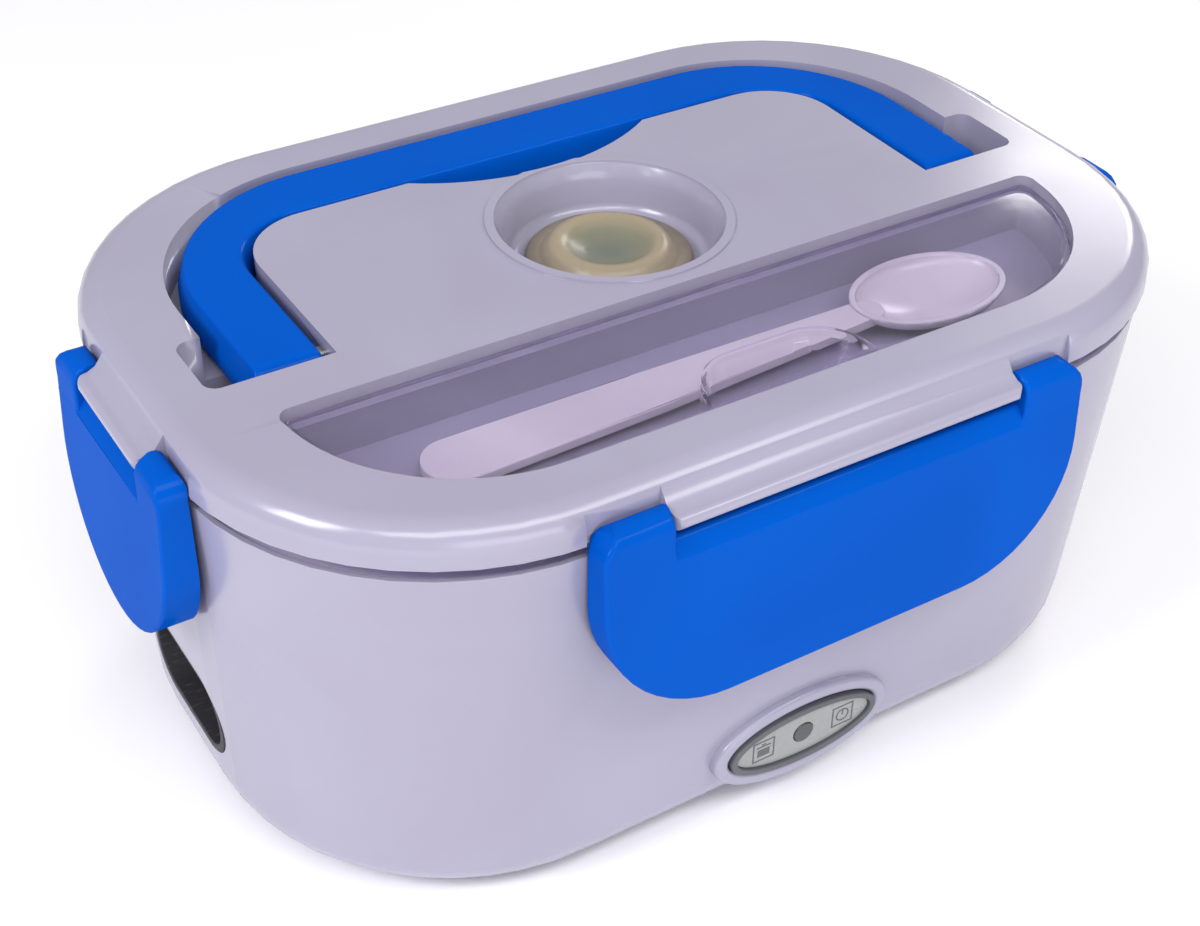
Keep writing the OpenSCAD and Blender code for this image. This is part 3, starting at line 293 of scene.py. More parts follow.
def bezel_plastic(c):
    # ABS ring, dark grey and dull, from a fine satin tool.
    return plastic(
        "abs_dark_grey_satin", (c.bezel, linear("#4c4e53")),
        rough=0.34, ripple=0.02, grain=1.5, relief=0.008,
        sockets={"IOR": 1.53},
    )


def socket_plastic(c):
    # Glass-filled nylon: near black, dull, with short pale fibres that show in the skin.
    made, tree, shader, place = begin("nylon_glass_filled_black", IOR=1.53)
    fibres = add(
        tree, "Mapping", {"Scale": (every(3.85), every(0.667), every(0.667)), "Rotation": (0.2, 0.3, 0.5)},
        {"Vector": place},
    )
    pattern = add(tree, "TexNoise", {"Scale": 1.0, "Detail": 2.0}, {"Vector": fibres.outputs["Vector"]})
    show = add(tree, "MapRange", {"From Min": 0.58, "From Max": 0.72}, {"Value": pattern.outputs["Fac"]})
    tone = add(
        tree, "Mix", {"data_type": "RGBA", 6: linear("#29272c"), 7: linear("#46444a")},
        {0: show.outputs["Result"]},
    )
    tree.links.new(tone.outputs[2], shader.inputs["Base Color"])
    dull = add(tree, "MapRange", {"To Min": 0.62, "To Max": 0.42}, {"Value": show.outputs["Result"]})
    tree.links.new(dull.outputs["Result"], shader.inputs["Roughness"])
    relief = add(
        tree, "Bump", {"Strength": 1.0, "Distance": 0.02 * MM},
        {"Height": pattern.outputs["Fac"]},
    )
    tree.links.new(relief.outputs["Normal"], shader.inputs["Normal"])
    return made


def phenolic(c):
    # Phenolic thermostat case: brown-black resin with pale wood-flour specks, compression moulded.
    made, tree, shader, place = begin("phenolic_brown_black", IOR=1.63)
    specks = add(tree, "TexVoronoi", {"Scale": every(0.625), "Randomness": 1.0}, {"Vector": place})
    near = add(
        tree, "MapRange", {"From Min": 0.12, "From Max": 0.2, "To Min": 1.0, "To Max": 0.0},
        {"Value": specks.outputs["Distance"]},
    )
    tone = add(
        tree, "Mix", {"data_type": "RGBA", 6: linear("#2b2826"), 7: linear("#5b4c3c")},
        {0: near.outputs["Result"]},
    )
    tree.links.new(tone.outputs[2], shader.inputs["Base Color"])
    sheen = add(tree, "MapRange", {"To Min": 0.35, "To Max": 0.55}, {"Value": near.outputs["Result"]})
    tree.links.new(sheen.outputs["Result"], shader.inputs["Roughness"])
    return made


def rubber(name, tones, rough, dust):
    """Moulded rubber: an even matt skin with a bloom of dust that clings in patches.

    dust is the share of the surface that the bloom covers.
    """
    made, tree, shader, place = begin(name, IOR=1.41)
    bloom = add(
        tree, "TexNoise", {"Scale": every(3.85), "Detail": 6.0, "Roughness": 0.65},
        {"Vector": place},
    )
    cover = add(
        tree, "MapRange", {"From Min": 1.0 - dust - 0.2, "From Max": 1.0 - dust + 0.2},
        {"Value": bloom.outputs["Fac"]},
    )
    tone = add(
        tree, "Mix", {"data_type": "RGBA", 6: tuple(tones[0]), 7: tuple(tones[1])},
        {0: cover.outputs["Result"]},
    )
    tree.links.new(tone.outputs[2], shader.inputs["Base Color"])
    matt = add(
        tree, "MapRange", {"To Min": rough, "To Max": min(rough * 1.35, 0.95)},
        {"Value": cover.outputs["Result"]},
    )
    tree.links.new(matt.outputs["Result"], shader.inputs["Roughness"])
    skin = add(tree, "TexNoise", {"Scale": every(0.667), "Detail": 2.0}, {"Vector": place})
    relief = add(tree, "Bump", {"Strength": 1.0, "Distance": 0.01 * MM}, {"Height": skin.outputs["Fac"]})
    tree.links.new(relief.outputs["Normal"], shader.inputs["Normal"])
    return made


def foot_rubber(c):
    # Thermoplastic rubber feet: dark grey, matt, with pale dust from the table.
    return rubber("rubber_grey_feet", (linear("#55555b"), linear("#73737a")), rough=0.75, dust=0.35)


def gasket_silicone(c):
    # Silicone lid ring: soft lilac grey and satin, with dust in patches.
    return rubber("silicone_grey_ring", (c.gasket, linear("#978fb0")), rough=0.48, dust=0.4)


def plug_silicone(c):
    # Unpigmented silicone, amber grey with age: satin and a little clear. Its middle over the steam hole is
    # painted
    #     # darker and greener than the thick ring round it, a painted shade standing in for the dark hole
    #     under the thin silicone.
    made, tree, shader, place = begin(
        "silicone_amber_translucent", IOR=1.41, Coat_Weight=0.15, Coat_Roughness=0.2,
        Subsurface_Weight=0.2, Subsurface_Radius=(3 * MM, 2.5 * MM, 1.8 * MM), Subsurface_Scale=1.0,
    )
    low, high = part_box("steam_plug")
    x, y = (low[0] + high[0]) / 2, (low[1] + high[1]) / 2
    centre = add(
        tree, "Mapping", {"Location": (-x, -y, 0), "Scale": (1, 1, 0)},
        {"Vector": place},
    )
    away = add(tree, "VectorMath", {"operation": "LENGTH"}, {0: centre.outputs["Vector"]})
    cloud = add(
        tree, "TexNoise", {"Scale": every(6.25), "Detail": 4.0, "Roughness": 0.6},
        {"Vector": place},
    )
    drift = add(
        tree, "MapRange", {"To Min": -1.2 * MM, "To Max": 1.2 * MM},
        {"Value": cloud.outputs["Fac"]},
    )
    spot = add(tree, "Math", {"operation": "ADD"}, {0: away.outputs["Value"], 1: drift.outputs["Result"]})
    part = add(
        tree, "MapRange", {"From Min": 0.0, "From Max": 18.5 * MM},
        {"Value": spot.outputs["Value"]},
    )
    # Painted shade: this ramp is darkest and greenest in the middle over the steam hole, lighter in the
    # ring, and darker again towards the outer edge
    tone = add(tree, "ValToRGB", links={"Fac": part.outputs["Result"]})
    painted_shade_ramp = tone.color_ramp.elements
    painted_shade_ramp[0].position, painted_shade_ramp[0].color = 0.1, linear("#6c7268")
    painted_shade_ramp[1].position, painted_shade_ramp[1].color = 0.95, linear("#776d64")
    for at, shade in ((0.42, "#7f7d6b"), (0.58, "#9b8f76"), (0.76, "#9c907c")):
        painted_shade_ramp.new(at).color = linear(shade)
    tree.links.new(tone.outputs["Color"], shader.inputs["Base Color"])
    sheen = add(tree, "MapRange", {"To Min": 0.3, "To Max": 0.46}, {"Value": cloud.outputs["Fac"]})
    tree.links.new(sheen.outputs["Result"], shader.inputs["Roughness"])
    relief = add(tree, "Bump", {"Strength": 1.0, "Distance": 0.03 * MM}, {"Height": cloud.outputs["Fac"]})
    tree.links.new(relief.outputs["Normal"], shader.inputs["Normal"])
    return made


def window_plastic(c):
    # Clear polystyrene cover from a polished tool: see-through, with a lilac cast and a faint cloudy haze.
    made, tree, shader, place = begin(
        "polystyrene_clear", IOR=1.06, Transmission_Weight=1.0, Base_Color=tuple(c.window), Coat_Weight=0.8,
        Coat_Roughness=0.05,
    )
    haze = add(
        tree, "TexNoise", {"Scale": every(22.2), "Detail": 3.0, "Distortion": 0.8},
        {"Vector": place},
    )
    cloudy = add(
        tree, "MapRange", {"From Min": 0.35, "From Max": 0.7, "To Min": 0.015, "To Max": 0.07},
        {"Value": haze.outputs["Fac"]},
    )
    tree.links.new(cloudy.outputs["Result"], shader.inputs["Roughness"])
    sag = add(tree, "TexNoise", {"Scale": every(25), "Detail": 1.0}, {"Vector": place})
    relief = add(tree, "Bump", {"Strength": 1.0, "Distance": 0.02 * MM}, {"Height": sag.outputs["Fac"]})
    tree.links.new(relief.outputs["Normal"], shader.inputs["Normal"])
    return made


def metal(name, tones, rough, spacing):
    """Worked metal: fine lines along one way, slightly lighter and darker, with matching roughness.

    spacing is how far apart the lines' marks lie along x, y and z, in millimetres: far along the lines and
    close across them.
    """
    made, tree, shader, place = begin(name, Metallic=1.0)
    lines = add(tree, "Mapping", {"Scale": [every(gap) for gap in spacing]}, {"Vector": place})
    pattern = add(
        tree, "TexNoise", {"Scale": 1.0, "Detail": 4.0, "Roughness": 0.6},
        {"Vector": lines.outputs["Vector"]},
    )
    part = add(tree, "MapRange", {"From Min": 0.3, "From Max": 0.7}, {"Value": pattern.outputs["Fac"]})
    tone = add(
        tree, "Mix", {"data_type": "RGBA", 6: tuple(tones[0]), 7: tuple(tones[1])},
        {0: part.outputs["Result"]},
    )
    tree.links.new(tone.outputs[2], shader.inputs["Base Color"])
    sheen = add(
        tree, "MapRange", {"To Min": rough * 0.8, "To Max": rough * 1.3},
        {"Value": part.outputs["Result"]},
    )
    tree.links.new(sheen.outputs["Result"], shader.inputs["Roughness"])
    relief = add(
        tree, "Bump", {"Strength": 1.0, "Distance": 0.008 * MM},
        {"Height": pattern.outputs["Fac"]},
    )
    tree.links.new(relief.outputs["Normal"], shader.inputs["Normal"])
    return made


def plate_aluminium(c):
    # Rolled aluminium sheet: rolling lines along the length, drawn 0.4 mm apart so that they show.
    return metal(
        "aluminium_rolled", (linear("#cfd0d3"), linear("#b9babd")), rough=0.32, spacing=(16.7, 0.4, 0.4),
    )


def strap_steel(c):
    # Cold-rolled spring strip: greyer than the plate, with its lines across the box.
    return metal(
        "steel_cold_rolled", (linear("#a4a5aa"), linear("#8b8d93")),
        rough=0.35, spacing=(0.455, 11.1, 0.455),
    )


def screw_steel(c):
    # Zinc-plated steel: bright with the faint straw and blue cast of the passivation, in soft patches.
    return metal(
        "steel_zinc_plated", (linear("#c3c6cc"), linear("#b5b09c")),
        rough=0.3, spacing=(2.38, 2.38, 1.11),
    )


def pin_brass(c):
    # Turned brass pins: fine rings round the pin from the lathe.
    return metal(
        "brass_turned", (linear("#d5b163"), linear("#b8924a")), rough=0.25, spacing=(0.3125, 8.33, 8.33),
    )


def heater_film(c):
    # Polyimide film wound round the heater: amber and glossy, with crinkles and the overlaps of the turns.
    made, tree, shader, place = begin("polyimide_amber_film", IOR=1.7, Coat_Weight=0.4, Coat_Roughness=0.12)
    turns = add(
        tree, "TexWave",
        {
            "wave_type": "BANDS", "bands_direction": "X",
            "Scale": every(28.6), "Distortion": 1.2, "Detail": 1.0,
        },
        {"Vector": place},
    )
    crinkle = add(
        tree, "TexVoronoi", {"feature": "DISTANCE_TO_EDGE", "Scale": every(4.17)},
        {"Vector": place},
    )
    tone = add(
        tree, "Mix", {"data_type": "RGBA", 6: linear("#c08a2c"), 7: linear("#dcae52")},
        {0: turns.outputs["Fac"]},
    )
    tree.links.new(tone.outputs[2], shader.inputs["Base Color"])
    sheen = add(tree, "MapRange", {"To Min": 0.16, "To Max": 0.4}, {"Value": crinkle.outputs["Distance"]})
    tree.links.new(sheen.outputs["Result"], shader.inputs["Roughness"])
    relief = add(
        tree, "Bump", {"Strength": 0.8, "Distance": 0.15 * MM},
        {"Height": crinkle.outputs["Distance"]},
    )
    tree.links.new(relief.outputs["Normal"], shader.inputs["Normal"])
    return made


def fuse_paint(c):
    # Stoved enamel on the fuse's metal case: red, glossy, with orange peel.
    return plastic(
        "enamel_red_stoved", (linear("#bd3a34"), linear("#a72f2b")),
        rough=0.28, ripple=0.04, grain=0.5, relief=0.02,
    )


def board_epoxy(c):
    # Glass-epoxy board under green solder mask: the glass weave shows through, with lighter tracks.
    made, tree, shader, place = begin("glass_epoxy_green", IOR=1.55, Coat_Weight=0.3, Coat_Roughness=0.2)
    weave = add(tree, "TexChecker", {"Scale": every(0.5)}, {"Vector": place})
    tracks = add(
        tree, "TexBrick",
        {
            "Scale": every(9.09), "Mortar Size": 0.06,
            "Color1": linear("#000000"), "Color2": linear("#000000"), "Mortar": linear("#ffffff"),
        },
        {"Vector": place},
    )
    tone = add(
        tree, "Mix", {"data_type": "RGBA", 6: linear("#1c6b3c"), 7: linear("#217546")},
        {0: weave.outputs["Fac"]},
    )
    line = add(
        tree, "Mix", {"data_type": "RGBA", 7: linear("#3f9a5e")},
        {0: tracks.outputs["Color"], 6: tone.outputs[2]},
    )
    tree.links.new(line.outputs[2], shader.inputs["Base Color"])
    sheen = add(tree, "MapRange", {"To Min": 0.32, "To Max": 0.42}, {"Value": weave.outputs["Fac"]})
    tree.links.new(sheen.outputs["Result"], shader.inputs["Roughness"])
    relief = add(
        tree, "Bump", {"Strength": 1.0, "Distance": 0.03 * MM},
        {"Height": tracks.outputs["Color"]},
    )
    tree.links.new(relief.outputs["Normal"], shader.inputs["Normal"])
    return made


def lamp_epoxy(c):
    # Smoked epoxy of the unlit lamp: glossy and dark, with a faint cloud in it.
    return plastic(
        "epoxy_smoked", (linear("#3f4043"), linear("#34353a")),
        rough=0.16, ripple=0.01, grain=0.8, relief=0.003,
        sockets={"IOR": 1.54, "Coat_Weight": 0.4, "Coat_Roughness": 0.08},
    )


def panel_acrylic(c):
    # Acrylic panel printed from behind: a glossy face over an even grey ink with a fine screen pattern.
    made, tree, shader, place = begin("acrylic_back_printed", IOR=1.49, Coat_Weight=0.5, Coat_Roughness=0.1)
    screen = add(tree, "TexVoronoi", {"Scale": every(0.385), "Randomness": 0.15}, {"Vector": place})
    tone = add(
        tree, "Mix", {"data_type": "RGBA", 6: tuple(c.panel), 7: linear("#8c908d")},
        {0: screen.outputs["Distance"]},
    )
    tree.links.new(tone.outputs[2], shader.inputs["Base Color"])
    cloud = add(tree, "TexNoise", {"Scale": every(5.56), "Detail": 3.0}, {"Vector": place})
    sheen = add(tree, "MapRange", {"To Min": 0.2, "To Max": 0.36}, {"Value": cloud.outputs["Fac"]})
    tree.links.new(sheen.outputs["Result"], shader.inputs["Roughness"])
    return made


def pictogram_ink(c):
    # Screen ink: dull dark grey, thinner and lighter where the mesh of the screen left it.
    made, tree, shader, place = begin("screen_ink_grey", IOR=1.5)
    mesh = add(tree, "TexNoise", {"Scale": every(0.263), "Detail": 2.0}, {"Vector": place})
    tone = add(
        tree, "Mix", {"data_type": "RGBA", 6: tuple(c.ink), 7: linear("#686b6d")},
        {0: mesh.outputs["Fac"]},
    )
    tree.links.new(tone.outputs[2], shader.inputs["Base Color"])
    dull = add(tree, "MapRange", {"To Min": 0.45, "To Max": 0.65}, {"Value": mesh.outputs["Fac"]})
    tree.links.new(dull.outputs["Result"], shader.inputs["Roughness"])
    return made


def wire_red(c):
    # Extruded silicone insulation: red-orange and satin, with a chalky bloom.
    return rubber("silicone_wire_red", (linear("#d24c2b"), linear("#c06a4e")), rough=0.5, dust=0.25)


def wire_black(c):
    # The same insulation in black, on which the bloom shows more.
    return rubber("silicone_wire_black", (linear("#29292d"), linear("#45454b")), rough=0.5, dust=0.25)


FINISHES = {
    "shell_plastic": shell_plastic,
    "blue_plastic": blue_plastic,
    "basin_plastic": basin_plastic,
    "cover_plastic": cover_plastic,
    "foot_rubber": foot_rubber,
    "screw_steel": screw_steel,
    "plate_aluminium": plate_aluminium,
    "heater_film": heater_film,
    "strap_steel": strap_steel,
    "bakelite": phenolic,
    "fuse_red": fuse_paint,
    "wire_red": wire_red,
    "wire_black": wire_black,
    "board_green": board_epoxy,
    "led_grey": lamp_epoxy,
    "panel_grey": panel_acrylic,
    "bezel_grey": bezel_plastic,
    "socket_black": socket_plastic,
    "pin_brass": pin_brass,
    "container_plastic": box_plastic,
    "tray_plastic": tray_plastic,
    "silicone_grey": gasket_silicone,
    "silicone_amber": plug_silicone,
    "clear_plastic": window_plastic,
    "spoon_plastic": spoon_plastic,
    "ink": pictogram_ink,
}
made_finishes = {}


def finish_for(slot):
    """The material of a slot, made once from the colours in the panel."""
    if slot not in made_finishes:
        made_finishes[slot] = FINISHES[slot](bpy.context.scene.lunch_box_colours)
    return made_finishes[slot]


# ---------------------------------------------------------------- pieces


def place_piece(bm, name, slot, body, paint=None, smooth=SMOOTH_TURN):
    """Turns a bmesh into a piece at the origin that rides on a body, smooth up to an angle."""
    data = bpy.data.meshes.new(name)
    bm.to_mesh(data)
    bm.free()
    data.shade_smooth()
    data.set_sharp_from_angle(angle=smooth)
    data.materials.clear()
    data.materials.append(finish_for(paint or slot))
    piece = bpy.data.objects.new(name, data)
    bpy.context.scene.collection.objects.link(piece)
    even = piece.modifiers.new("flats_stay_flat", "WEIGHTED_NORMAL")
    even.keep_sharp = True
    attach(piece, body)
    return piece


def soften(bm, edge, segments, where=None):
    """Rounds the sharp outer edges, or those of them that where() picks."""
    sharp = [e for e in bm.edges if e.is_convex and e.calc_face_angle(0.0) > SHARP_TURN]
    picked = [e for e in sharp if where is None or where(e)]
    bmesh.ops.bevel(
        bm, geom=picked, offset=edge, offset_type="OFFSET", segments=segments, profile=0.5, affect="EDGES",
        clamp_overlap=False, material=-1, loop_slide=False,
    )
    # Where two roundings cross at a tight corner, the small folded faces between them are closed up
    folded = {
        v for e in bm.edges
        if e.calc_face_angle(0.0) > FOLDED_TURN and min(f.calc_area() for f in e.link_faces) < edge * edge
        for v in e.verts
    }
    bmesh.ops.remove_doubles(bm, verts=list(folded), dist=edge * 0.6)


def middle(e):
    """The middle of an edge."""
    return (e.verts[0].co + e.verts[1].co) / 2


def moulded(node, slot, *rounds, shape=None, smooth=SMOOTH_TURN):
    """A copy of a node in its place, its doubles merged, shaped by shape() and its outer edges rounded.

    Each of rounds is a rounding's size, its number of segments and, where not all edges take it, a test of
    an edge.
    """
    bm = bmesh.new()
    bm.from_mesh(frame["nodes"][node].data)
    bmesh.ops.remove_doubles(bm, verts=bm.verts, dist=SAME_POINT)
    bmesh.ops.dissolve_degenerate(bm, edges=bm.edges, dist=SAME_EDGE)
    bmesh.ops.dissolve_limit(
        bm, angle_limit=SAME_PLANE, verts=bm.verts, edges=bm.edges, use_dissolve_boundaries=False
    )
    bm.normal_update()
    if shape:
        shape(bm)
        bm.normal_update()
    for size, segments, *where in rounds:
        soften(bm, size, segments, *where)
        bm.normal_update()
    piece = place_piece(bm, node + "_moulded", slot, BODY_OF[node], smooth=smooth)
    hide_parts(node)
    return piece


def painted(node, slot):
    """A node whose own shape is right: it keeps its mesh and takes the finish of its slot."""
    target = frame["nodes"][node]
    target.data.materials.clear()
    target.data.materials.append(finish_for(slot))
    return target


def outline(bm, centre, radius, width, corners):
    """A flat closed line: a ring of so many corners, with the first one at 45 degrees."""
    turn = Matrix.Translation((*centre, 0)) @ Matrix.Rotation(math.radians(45), 4, "Z")
    rims = []
    for reach in (radius, radius - width / math.cos(math.pi / corners)):
        made = bmesh.ops.create_circle(bm, cap_ends=False, radius=reach, segments=corners, matrix=turn)
        rims += {e for v in made["verts"] for e in v.link_edges}
    bmesh.ops.bridge_loops(bm, edges=rims)


def stroke(bm, centre, size):
    """A flat upright rectangle."""
    place = Matrix.Translation((*centre, 0)) @ Matrix.Diagonal((size[0] / 2, size[1] / 2, 1, 1))
    bmesh.ops.create_grid(bm, x_segments=1, y_segments=1, size=1.0, matrix=place)


class LUNCHBOX_OT_body(bpy.types.Operator):
    """Dresses the outer shell, its base cover, the feet and the base screws"""

    bl_idname = "lunchbox.body"
    bl_label = "Body and Base"

    def execute(self, context):
        s = context.scene.lunch_box_sizes
        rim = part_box("outer_shell")[1][2] - LEVEL

        def on_boss(e):
            return any(f.normal.y < -0.9 for f in e.link_faces) and middle(e).z < 0.4 * rim

        def on_rim(e):
            return middle(e).z > rim

        moulded("outer_shell", "shell_plastic", (s.shell_edge, 3, on_boss), (s.rim_edge, 2, on_rim))
        moulded("base_cover", "cover_plastic", (s.inner_edge, 3))
        moulded("feet", "foot_rubber", (s.inner_edge, 3))
        moulded("base_screws", "screw_steel", (s.metal_edge, 2))
        return {"FINISHED"}


class LUNCHBOX_OT_heater(bpy.types.Operator):
    """Dresses the inner basin and all that heats it"""

    bl_idname = "lunchbox.heater"
    bl_label = "Basin and Heater"

    def execute(self, context):
        s = context.scene.lunch_box_sizes
        moulded("inner_basin", "basin_plastic", (s.inner_edge, 3))
        moulded("heating_plate", "plate_aluminium", (s.metal_edge, 2))
        moulded("ptc_heater", "heater_film", (s.inner_edge, 3))
        moulded("heater_clamp", "strap_steel", (s.metal_edge, 2))
        moulded("clamp_screws", "screw_steel", (s.metal_edge, 2))
        moulded("thermostat", "bakelite", (s.inner_edge, 3))
        moulded("thermal_fuse", "fuse_red", (s.inner_edge, 3))
        painted("mains_wires", "wire_red")
        painted("led_wires", "wire_black")
        return {"FINISHED"}


class LUNCHBOX_OT_indicator(bpy.types.Operator):
    """Dresses the indicator's bezel, panel, lamp and board and prints its two pictograms"""

    bl_idname = "lunchbox.indicator"
    bl_label = "Indicator"

    def execute(self, context):
        s = context.scene.lunch_box_sizes
        moulded("indicator_bezel", "bezel_grey", (s.inner_edge, 3))
        moulded("indicator_panel", "panel_grey", (s.metal_edge, 2))
        moulded("indicator_led", "led_grey", (s.inner_edge, 3))
        moulded("led_board", "board_green", (s.metal_edge, 2))
        low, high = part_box("indicator_panel")
        face = Vector(((low[0] + high[0]) / 2, low[1], (low[2] + high[2]) / 2))
        half, line = s.pictogram / 2, s.pictogram_line
        bm = bmesh.new()
        for aside in (-s.pictogram_place, s.pictogram_place):
            outline(bm, (aside, 0), half * math.sqrt(2), line, 4)
        # Left, a covered box: its body, its lid and the lid's grip. Right, a round dial with its mark
        stroke(bm, (-s.pictogram_place, -0.2 * half), (1.1 * half, 0.7 * half))
        stroke(bm, (-s.pictogram_place, 0.42 * half), (1.3 * half, line))
        stroke(bm, (-s.pictogram_place, 0.62 * half), (0.4 * half, line))
        outline(bm, (s.pictogram_place, 0), 0.62 * half, line, 32)
        stroke(bm, (s.pictogram_place, 0.25 * half), (line, 0.5 * half))
        raised = bmesh.ops.extrude_face_region(bm, geom=bm.faces[:])["geom"]
        top = [v for v in raised if isinstance(v, bmesh.types.BMVert)]
        bmesh.ops.translate(bm, verts=top, vec=(0, 0, s.ink_height))
        bmesh.ops.recalc_face_normals(bm, faces=bm.faces)
        stand = Matrix.Translation(face) @ Matrix.Rotation(math.radians(90), 4, "X")
        bmesh.ops.transform(bm, matrix=stand, verts=bm.verts)
        place_piece(bm, "indicator_pictograms", "panel_grey", BODY_OF["indicator_panel"], paint="ink")
        return {"FINISHED"}


class LUNCHBOX_OT_inlet(bpy.types.Operator):
    """Dresses the power inlet and its two pins"""

    bl_idname = "lunchbox.inlet"
    bl_label = "Power Inlet"

    def execute(self, context):
        s = context.scene.lunch_box_sizes
        moulded("inlet_socket", "socket_black", (s.inner_edge, 3))
        moulded("inlet_pins", "pin_brass", (s.metal_edge, 2))
        return {"FINISHED"}


class LUNCHBOX_OT_food_boxes(bpy.types.Operator):
    """Dresses the main food box and the side tray"""

    bl_idname = "lunchbox.food_boxes"
    bl_label = "Food Boxes"

    def execute(self, context):
        s = context.scene.lunch_box_sizes
        moulded("food_container", "container_plastic", (s.inner_edge, 3))
        moulded("side_tray", "tray_plastic", (s.inner_edge, 3))
        return {"FINISHED"}


class LUNCHBOX_OT_lid(bpy.types.Operator):
    """Dresses the lid shell, its liner and gasket, and the steel pins in it"""

    bl_idname = "lunchbox.lid"
    bl_label = "Lid"

    def execute(self, context):
        s = context.scene.lunch_box_sizes
        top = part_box("lid_shell")[1][2]
        plug = [(a + b) / 2 for a, b in zip(*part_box("steam_plug"))]

        def on_top(e):
            spot = middle(e)
            in_well = math.hypot(spot.x - plug[0], spot.y - plug[1]) < WELL_REACH
            return not in_well and all(abs(v.co.z - top) < LEVEL for v in e.verts)

        moulded("lid_shell", "shell_plastic", (s.brow_edge, 4, on_top))
        moulded("lid_liner", "basin_plastic", (s.inner_edge, 3))
        moulded("lid_gasket", "silicone_grey", (s.inner_edge, 3))
        moulded("latch_pins", "screw_steel", (s.metal_edge, 2))
        moulded("handle_pins", "screw_steel", (s.metal_edge, 2))
        return {"FINISHED"}


class LUNCHBOX_OT_steam_plug(bpy.types.Operator):
    """Dresses the soft steam plug"""

    bl_idname = "lunchbox.steam_plug"
    bl_label = "Steam Plug"

    def execute(self, context):
        s = context.scene.lunch_box_sizes
        moulded("steam_plug", "silicone_amber", (s.inner_edge, 3))
        return {"FINISHED"}


class LUNCHBOX_OT_spoon_bay(bpy.types.Operator):
    """Dresses the clear cover of the spoon bay and the spoon under it"""

    bl_idname = "lunchbox.spoon_bay"
    bl_label = "Spoon and Cover"

    def execute(self, context):
        s = context.scene.lunch_box_sizes
        moulded("spoon_cover", "clear_plastic", (s.window_edge, 3))
        moulded("spoon", "spoon_plastic", (s.inner_edge, 2), smooth=SPOON_SMOOTH_TURN)
        return {"FINISHED"}


class LUNCHBOX_OT_latches(bpy.types.Operator):
    """Dresses the four latches"""

    bl_idname = "lunchbox.latches"
    bl_label = "Latches"

    def execute(self, context):
        s = context.scene.lunch_box_sizes
        for node, out, size in (
            ("latch_front", Vector((0, -1, 0)), s.accent_edge),
            ("latch_rear", Vector((0, 1, 0)), s.accent_edge),
            ("latch_left", Vector((-1, 0, 0)), s.short_latch_edge),
            ("latch_right", Vector((1, 0, 0)), s.short_latch_edge),
        ):

            def on_face(e, out=out):
                return any(f.normal.dot(out) > 0.35 for f in e.link_faces)

            moulded(node, "blue_plastic", (size, 4, on_face))
        return {"FINISHED"}


class LUNCHBOX_OT_handle(bpy.types.Operator):
    """Dresses the carrying handle"""

    bl_idname = "lunchbox.handle"
    bl_label = "Handle"

    def execute(self, context):
        s = context.scene.lunch_box_sizes
        pins = [(a + b) / 2 for a, b in zip(*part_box("handle_pins"))]

        def off_pins(e):
            spot = middle(e)
            return math.hypot(spot.y - pins[1], spot.z - pins[2]) > PIN_REACH

        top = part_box("handle")[1][2]

        def lean(bm):
            # Above the flanks' foot each corner moves in from its sides, more the higher it is
            foot = top - s.handle_flank
            bmesh.ops.bisect_plane(
                bm, geom=bm.verts[:] + bm.edges[:] + bm.faces[:], dist=ON_CUT, plane_co=(0, 0, foot),
                plane_no=(0, 0, 1),
            )
            bm.normal_update()
            moves = {}
            for v in bm.verts:
                rise = (v.co.z - foot) / s.handle_flank
                sides = [
                    f.normal.copy() for f in v.link_faces
                    if abs(f.normal.z) < 0.3 and (v.co.y > pins[1] or abs(f.normal.x) > 0.9)
                ]
                if rise > 0 and sides:
                    way = sum(sides, Vector()).normalized()
                    moves[v] = way * (-s.handle_draft * rise / max(0.7, way.dot(sides[0])))
            for v, move in moves.items():
                v.co += move

        moulded("handle", "blue_plastic", (s.accent_edge, 4, off_pins), shape=lean)
        return {"FINISHED"}


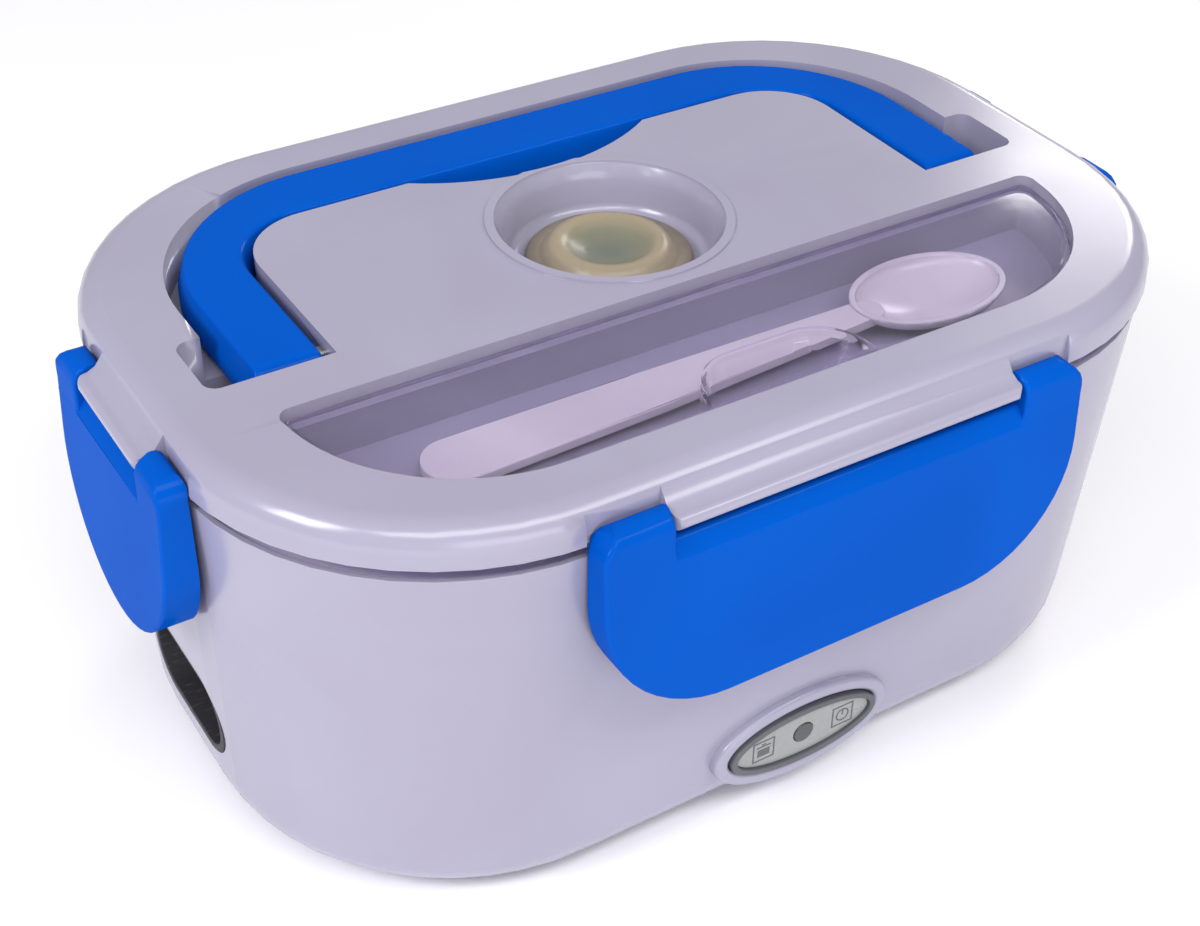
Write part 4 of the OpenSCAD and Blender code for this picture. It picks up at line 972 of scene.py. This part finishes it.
class LUNCHBOX_OT_stage(bpy.types.Operator):
    """Sets the pale floor, the soft lights and the camera"""

    bl_idname = "lunchbox.stage"
    bl_label = "Floor, Lights and Camera"

    def execute(self, context):
        scene = context.scene
        paper = scene.lunch_box_colours.floor
        bm = bmesh.new()
        bmesh.ops.create_grid(bm, x_segments=1, y_segments=1, size=FLOOR_REACH)
        data = bpy.data.meshes.new("floor")
        bm.to_mesh(data)
        bm.free()
        made, tree, shader, place = begin("paper_pale", Specular_IOR_Level=0.2)
        fibres = add(tree, "TexNoise", {"Scale": every(111), "Detail": 4.0}, {"Vector": place})
        tone = add(
            tree, "Mix", {"data_type": "RGBA", 6: tuple(paper), 7: linear("#fcfcfd")},
            {0: fibres.outputs["Fac"]},
        )
        tree.links.new(tone.outputs[2], shader.inputs["Base Color"])
        matt = add(tree, "MapRange", {"To Min": 0.8, "To Max": 0.95}, {"Value": fibres.outputs["Fac"]})
        tree.links.new(matt.outputs["Result"], shader.inputs["Roughness"])
        data.materials.append(made)
        floor = bpy.data.objects.new("floor", data)
        scene.collection.objects.link(floor)

        scene.view_settings.view_transform = "Standard"
        world = bpy.data.worlds.new("soft_room")
        world.use_nodes = True
        sky = world.node_tree.nodes["Background"]
        sky.inputs["Color"].default_value = linear(ROOM_TINT)
        sky.inputs["Strength"].default_value = ROOM_LIGHT
        scene.world = world
        for name, spot, size, watts, tint in LAMPS:
            lamp = bpy.data.lights.new(name, "AREA")
            lamp.shape = "RECTANGLE"
            lamp.size, lamp.size_y = size
            lamp.energy = watts
            lamp.color = linear(tint)[:3]
            holder = bpy.data.objects.new(name, lamp)
            holder.location = spot
            holder.rotation_mode = "QUATERNION"
            holder.rotation_quaternion = (LIT_SPOT - Vector(spot)).to_track_quat("-Z", "Y")
            scene.collection.objects.link(holder)

        level = Vector((math.sin(CAMERA_YAW), math.cos(CAMERA_YAW), 0))
        ahead = math.cos(CAMERA_PITCH) * level - math.sin(CAMERA_PITCH) * Vector((0, 0, 1))
        side = Vector((math.cos(CAMERA_YAW), -math.sin(CAMERA_YAW), 0))
        above = side.cross(ahead)
        right = math.cos(CAMERA_ROLL) * side + math.sin(CAMERA_ROLL) * above
        up = -math.sin(CAMERA_ROLL) * side + math.cos(CAMERA_ROLL) * above
        turn = Matrix((right, up, -ahead)).transposed().to_4x4()
        lens = bpy.data.cameras.new("camera")
        lens.sensor_width = SENSOR_WIDTH
        lens.lens = FOCAL_LENGTH
        lens.shift_x, lens.shift_y = LENS_SHIFT
        eye = bpy.data.objects.new("camera", lens)
        eye.matrix_world = Matrix.Translation(CAMERA_PLACE) @ turn
        scene.collection.objects.link(eye)
        scene.camera = eye
        return {"FINISHED"}


PIECES = (
    LUNCHBOX_OT_body,
    LUNCHBOX_OT_heater,
    LUNCHBOX_OT_indicator,
    LUNCHBOX_OT_inlet,
    LUNCHBOX_OT_food_boxes,
    LUNCHBOX_OT_lid,
    LUNCHBOX_OT_steam_plug,
    LUNCHBOX_OT_spoon_bay,
    LUNCHBOX_OT_latches,
    LUNCHBOX_OT_handle,
    LUNCHBOX_OT_stage,
)


class LUNCHBOX_PT_panel(bpy.types.Panel):
    """Lists the pieces, with the sizes and colours they take"""

    bl_idname = "LUNCHBOX_PT_panel"
    bl_label = "Lunch Box"
    bl_space_type = "VIEW_3D"
    bl_region_type = "UI"
    bl_category = "Lunch Box"

    def draw(self, context):
        layout = self.layout
        for piece in PIECES:
            layout.operator(piece.bl_idname)
        for title, group in (
            ("Sizes", context.scene.lunch_box_sizes),
            ("Colours", context.scene.lunch_box_colours),
        ):
            layout.label(text=title)
            for name in group.__annotations__:
                layout.prop(group, name)


CLASSES = (LunchBoxColours, LunchBoxSizes) + PIECES + (LUNCHBOX_PT_panel,)


def register():
    for each in CLASSES:
        bpy.utils.register_class(each)
    bpy.types.Scene.lunch_box_colours = bpy.props.PointerProperty(type=LunchBoxColours)
    bpy.types.Scene.lunch_box_sizes = bpy.props.PointerProperty(type=LunchBoxSizes)


def unregister():
    del bpy.types.Scene.lunch_box_sizes
    del bpy.types.Scene.lunch_box_colours
    for each in reversed(CLASSES):
        bpy.utils.unregister_class(each)


def main():
    register()
    for piece in PIECES:
        group, name = piece.bl_idname.split(".")
        getattr(getattr(bpy.ops, group), name)()


if __name__ == "__main__":
    main()
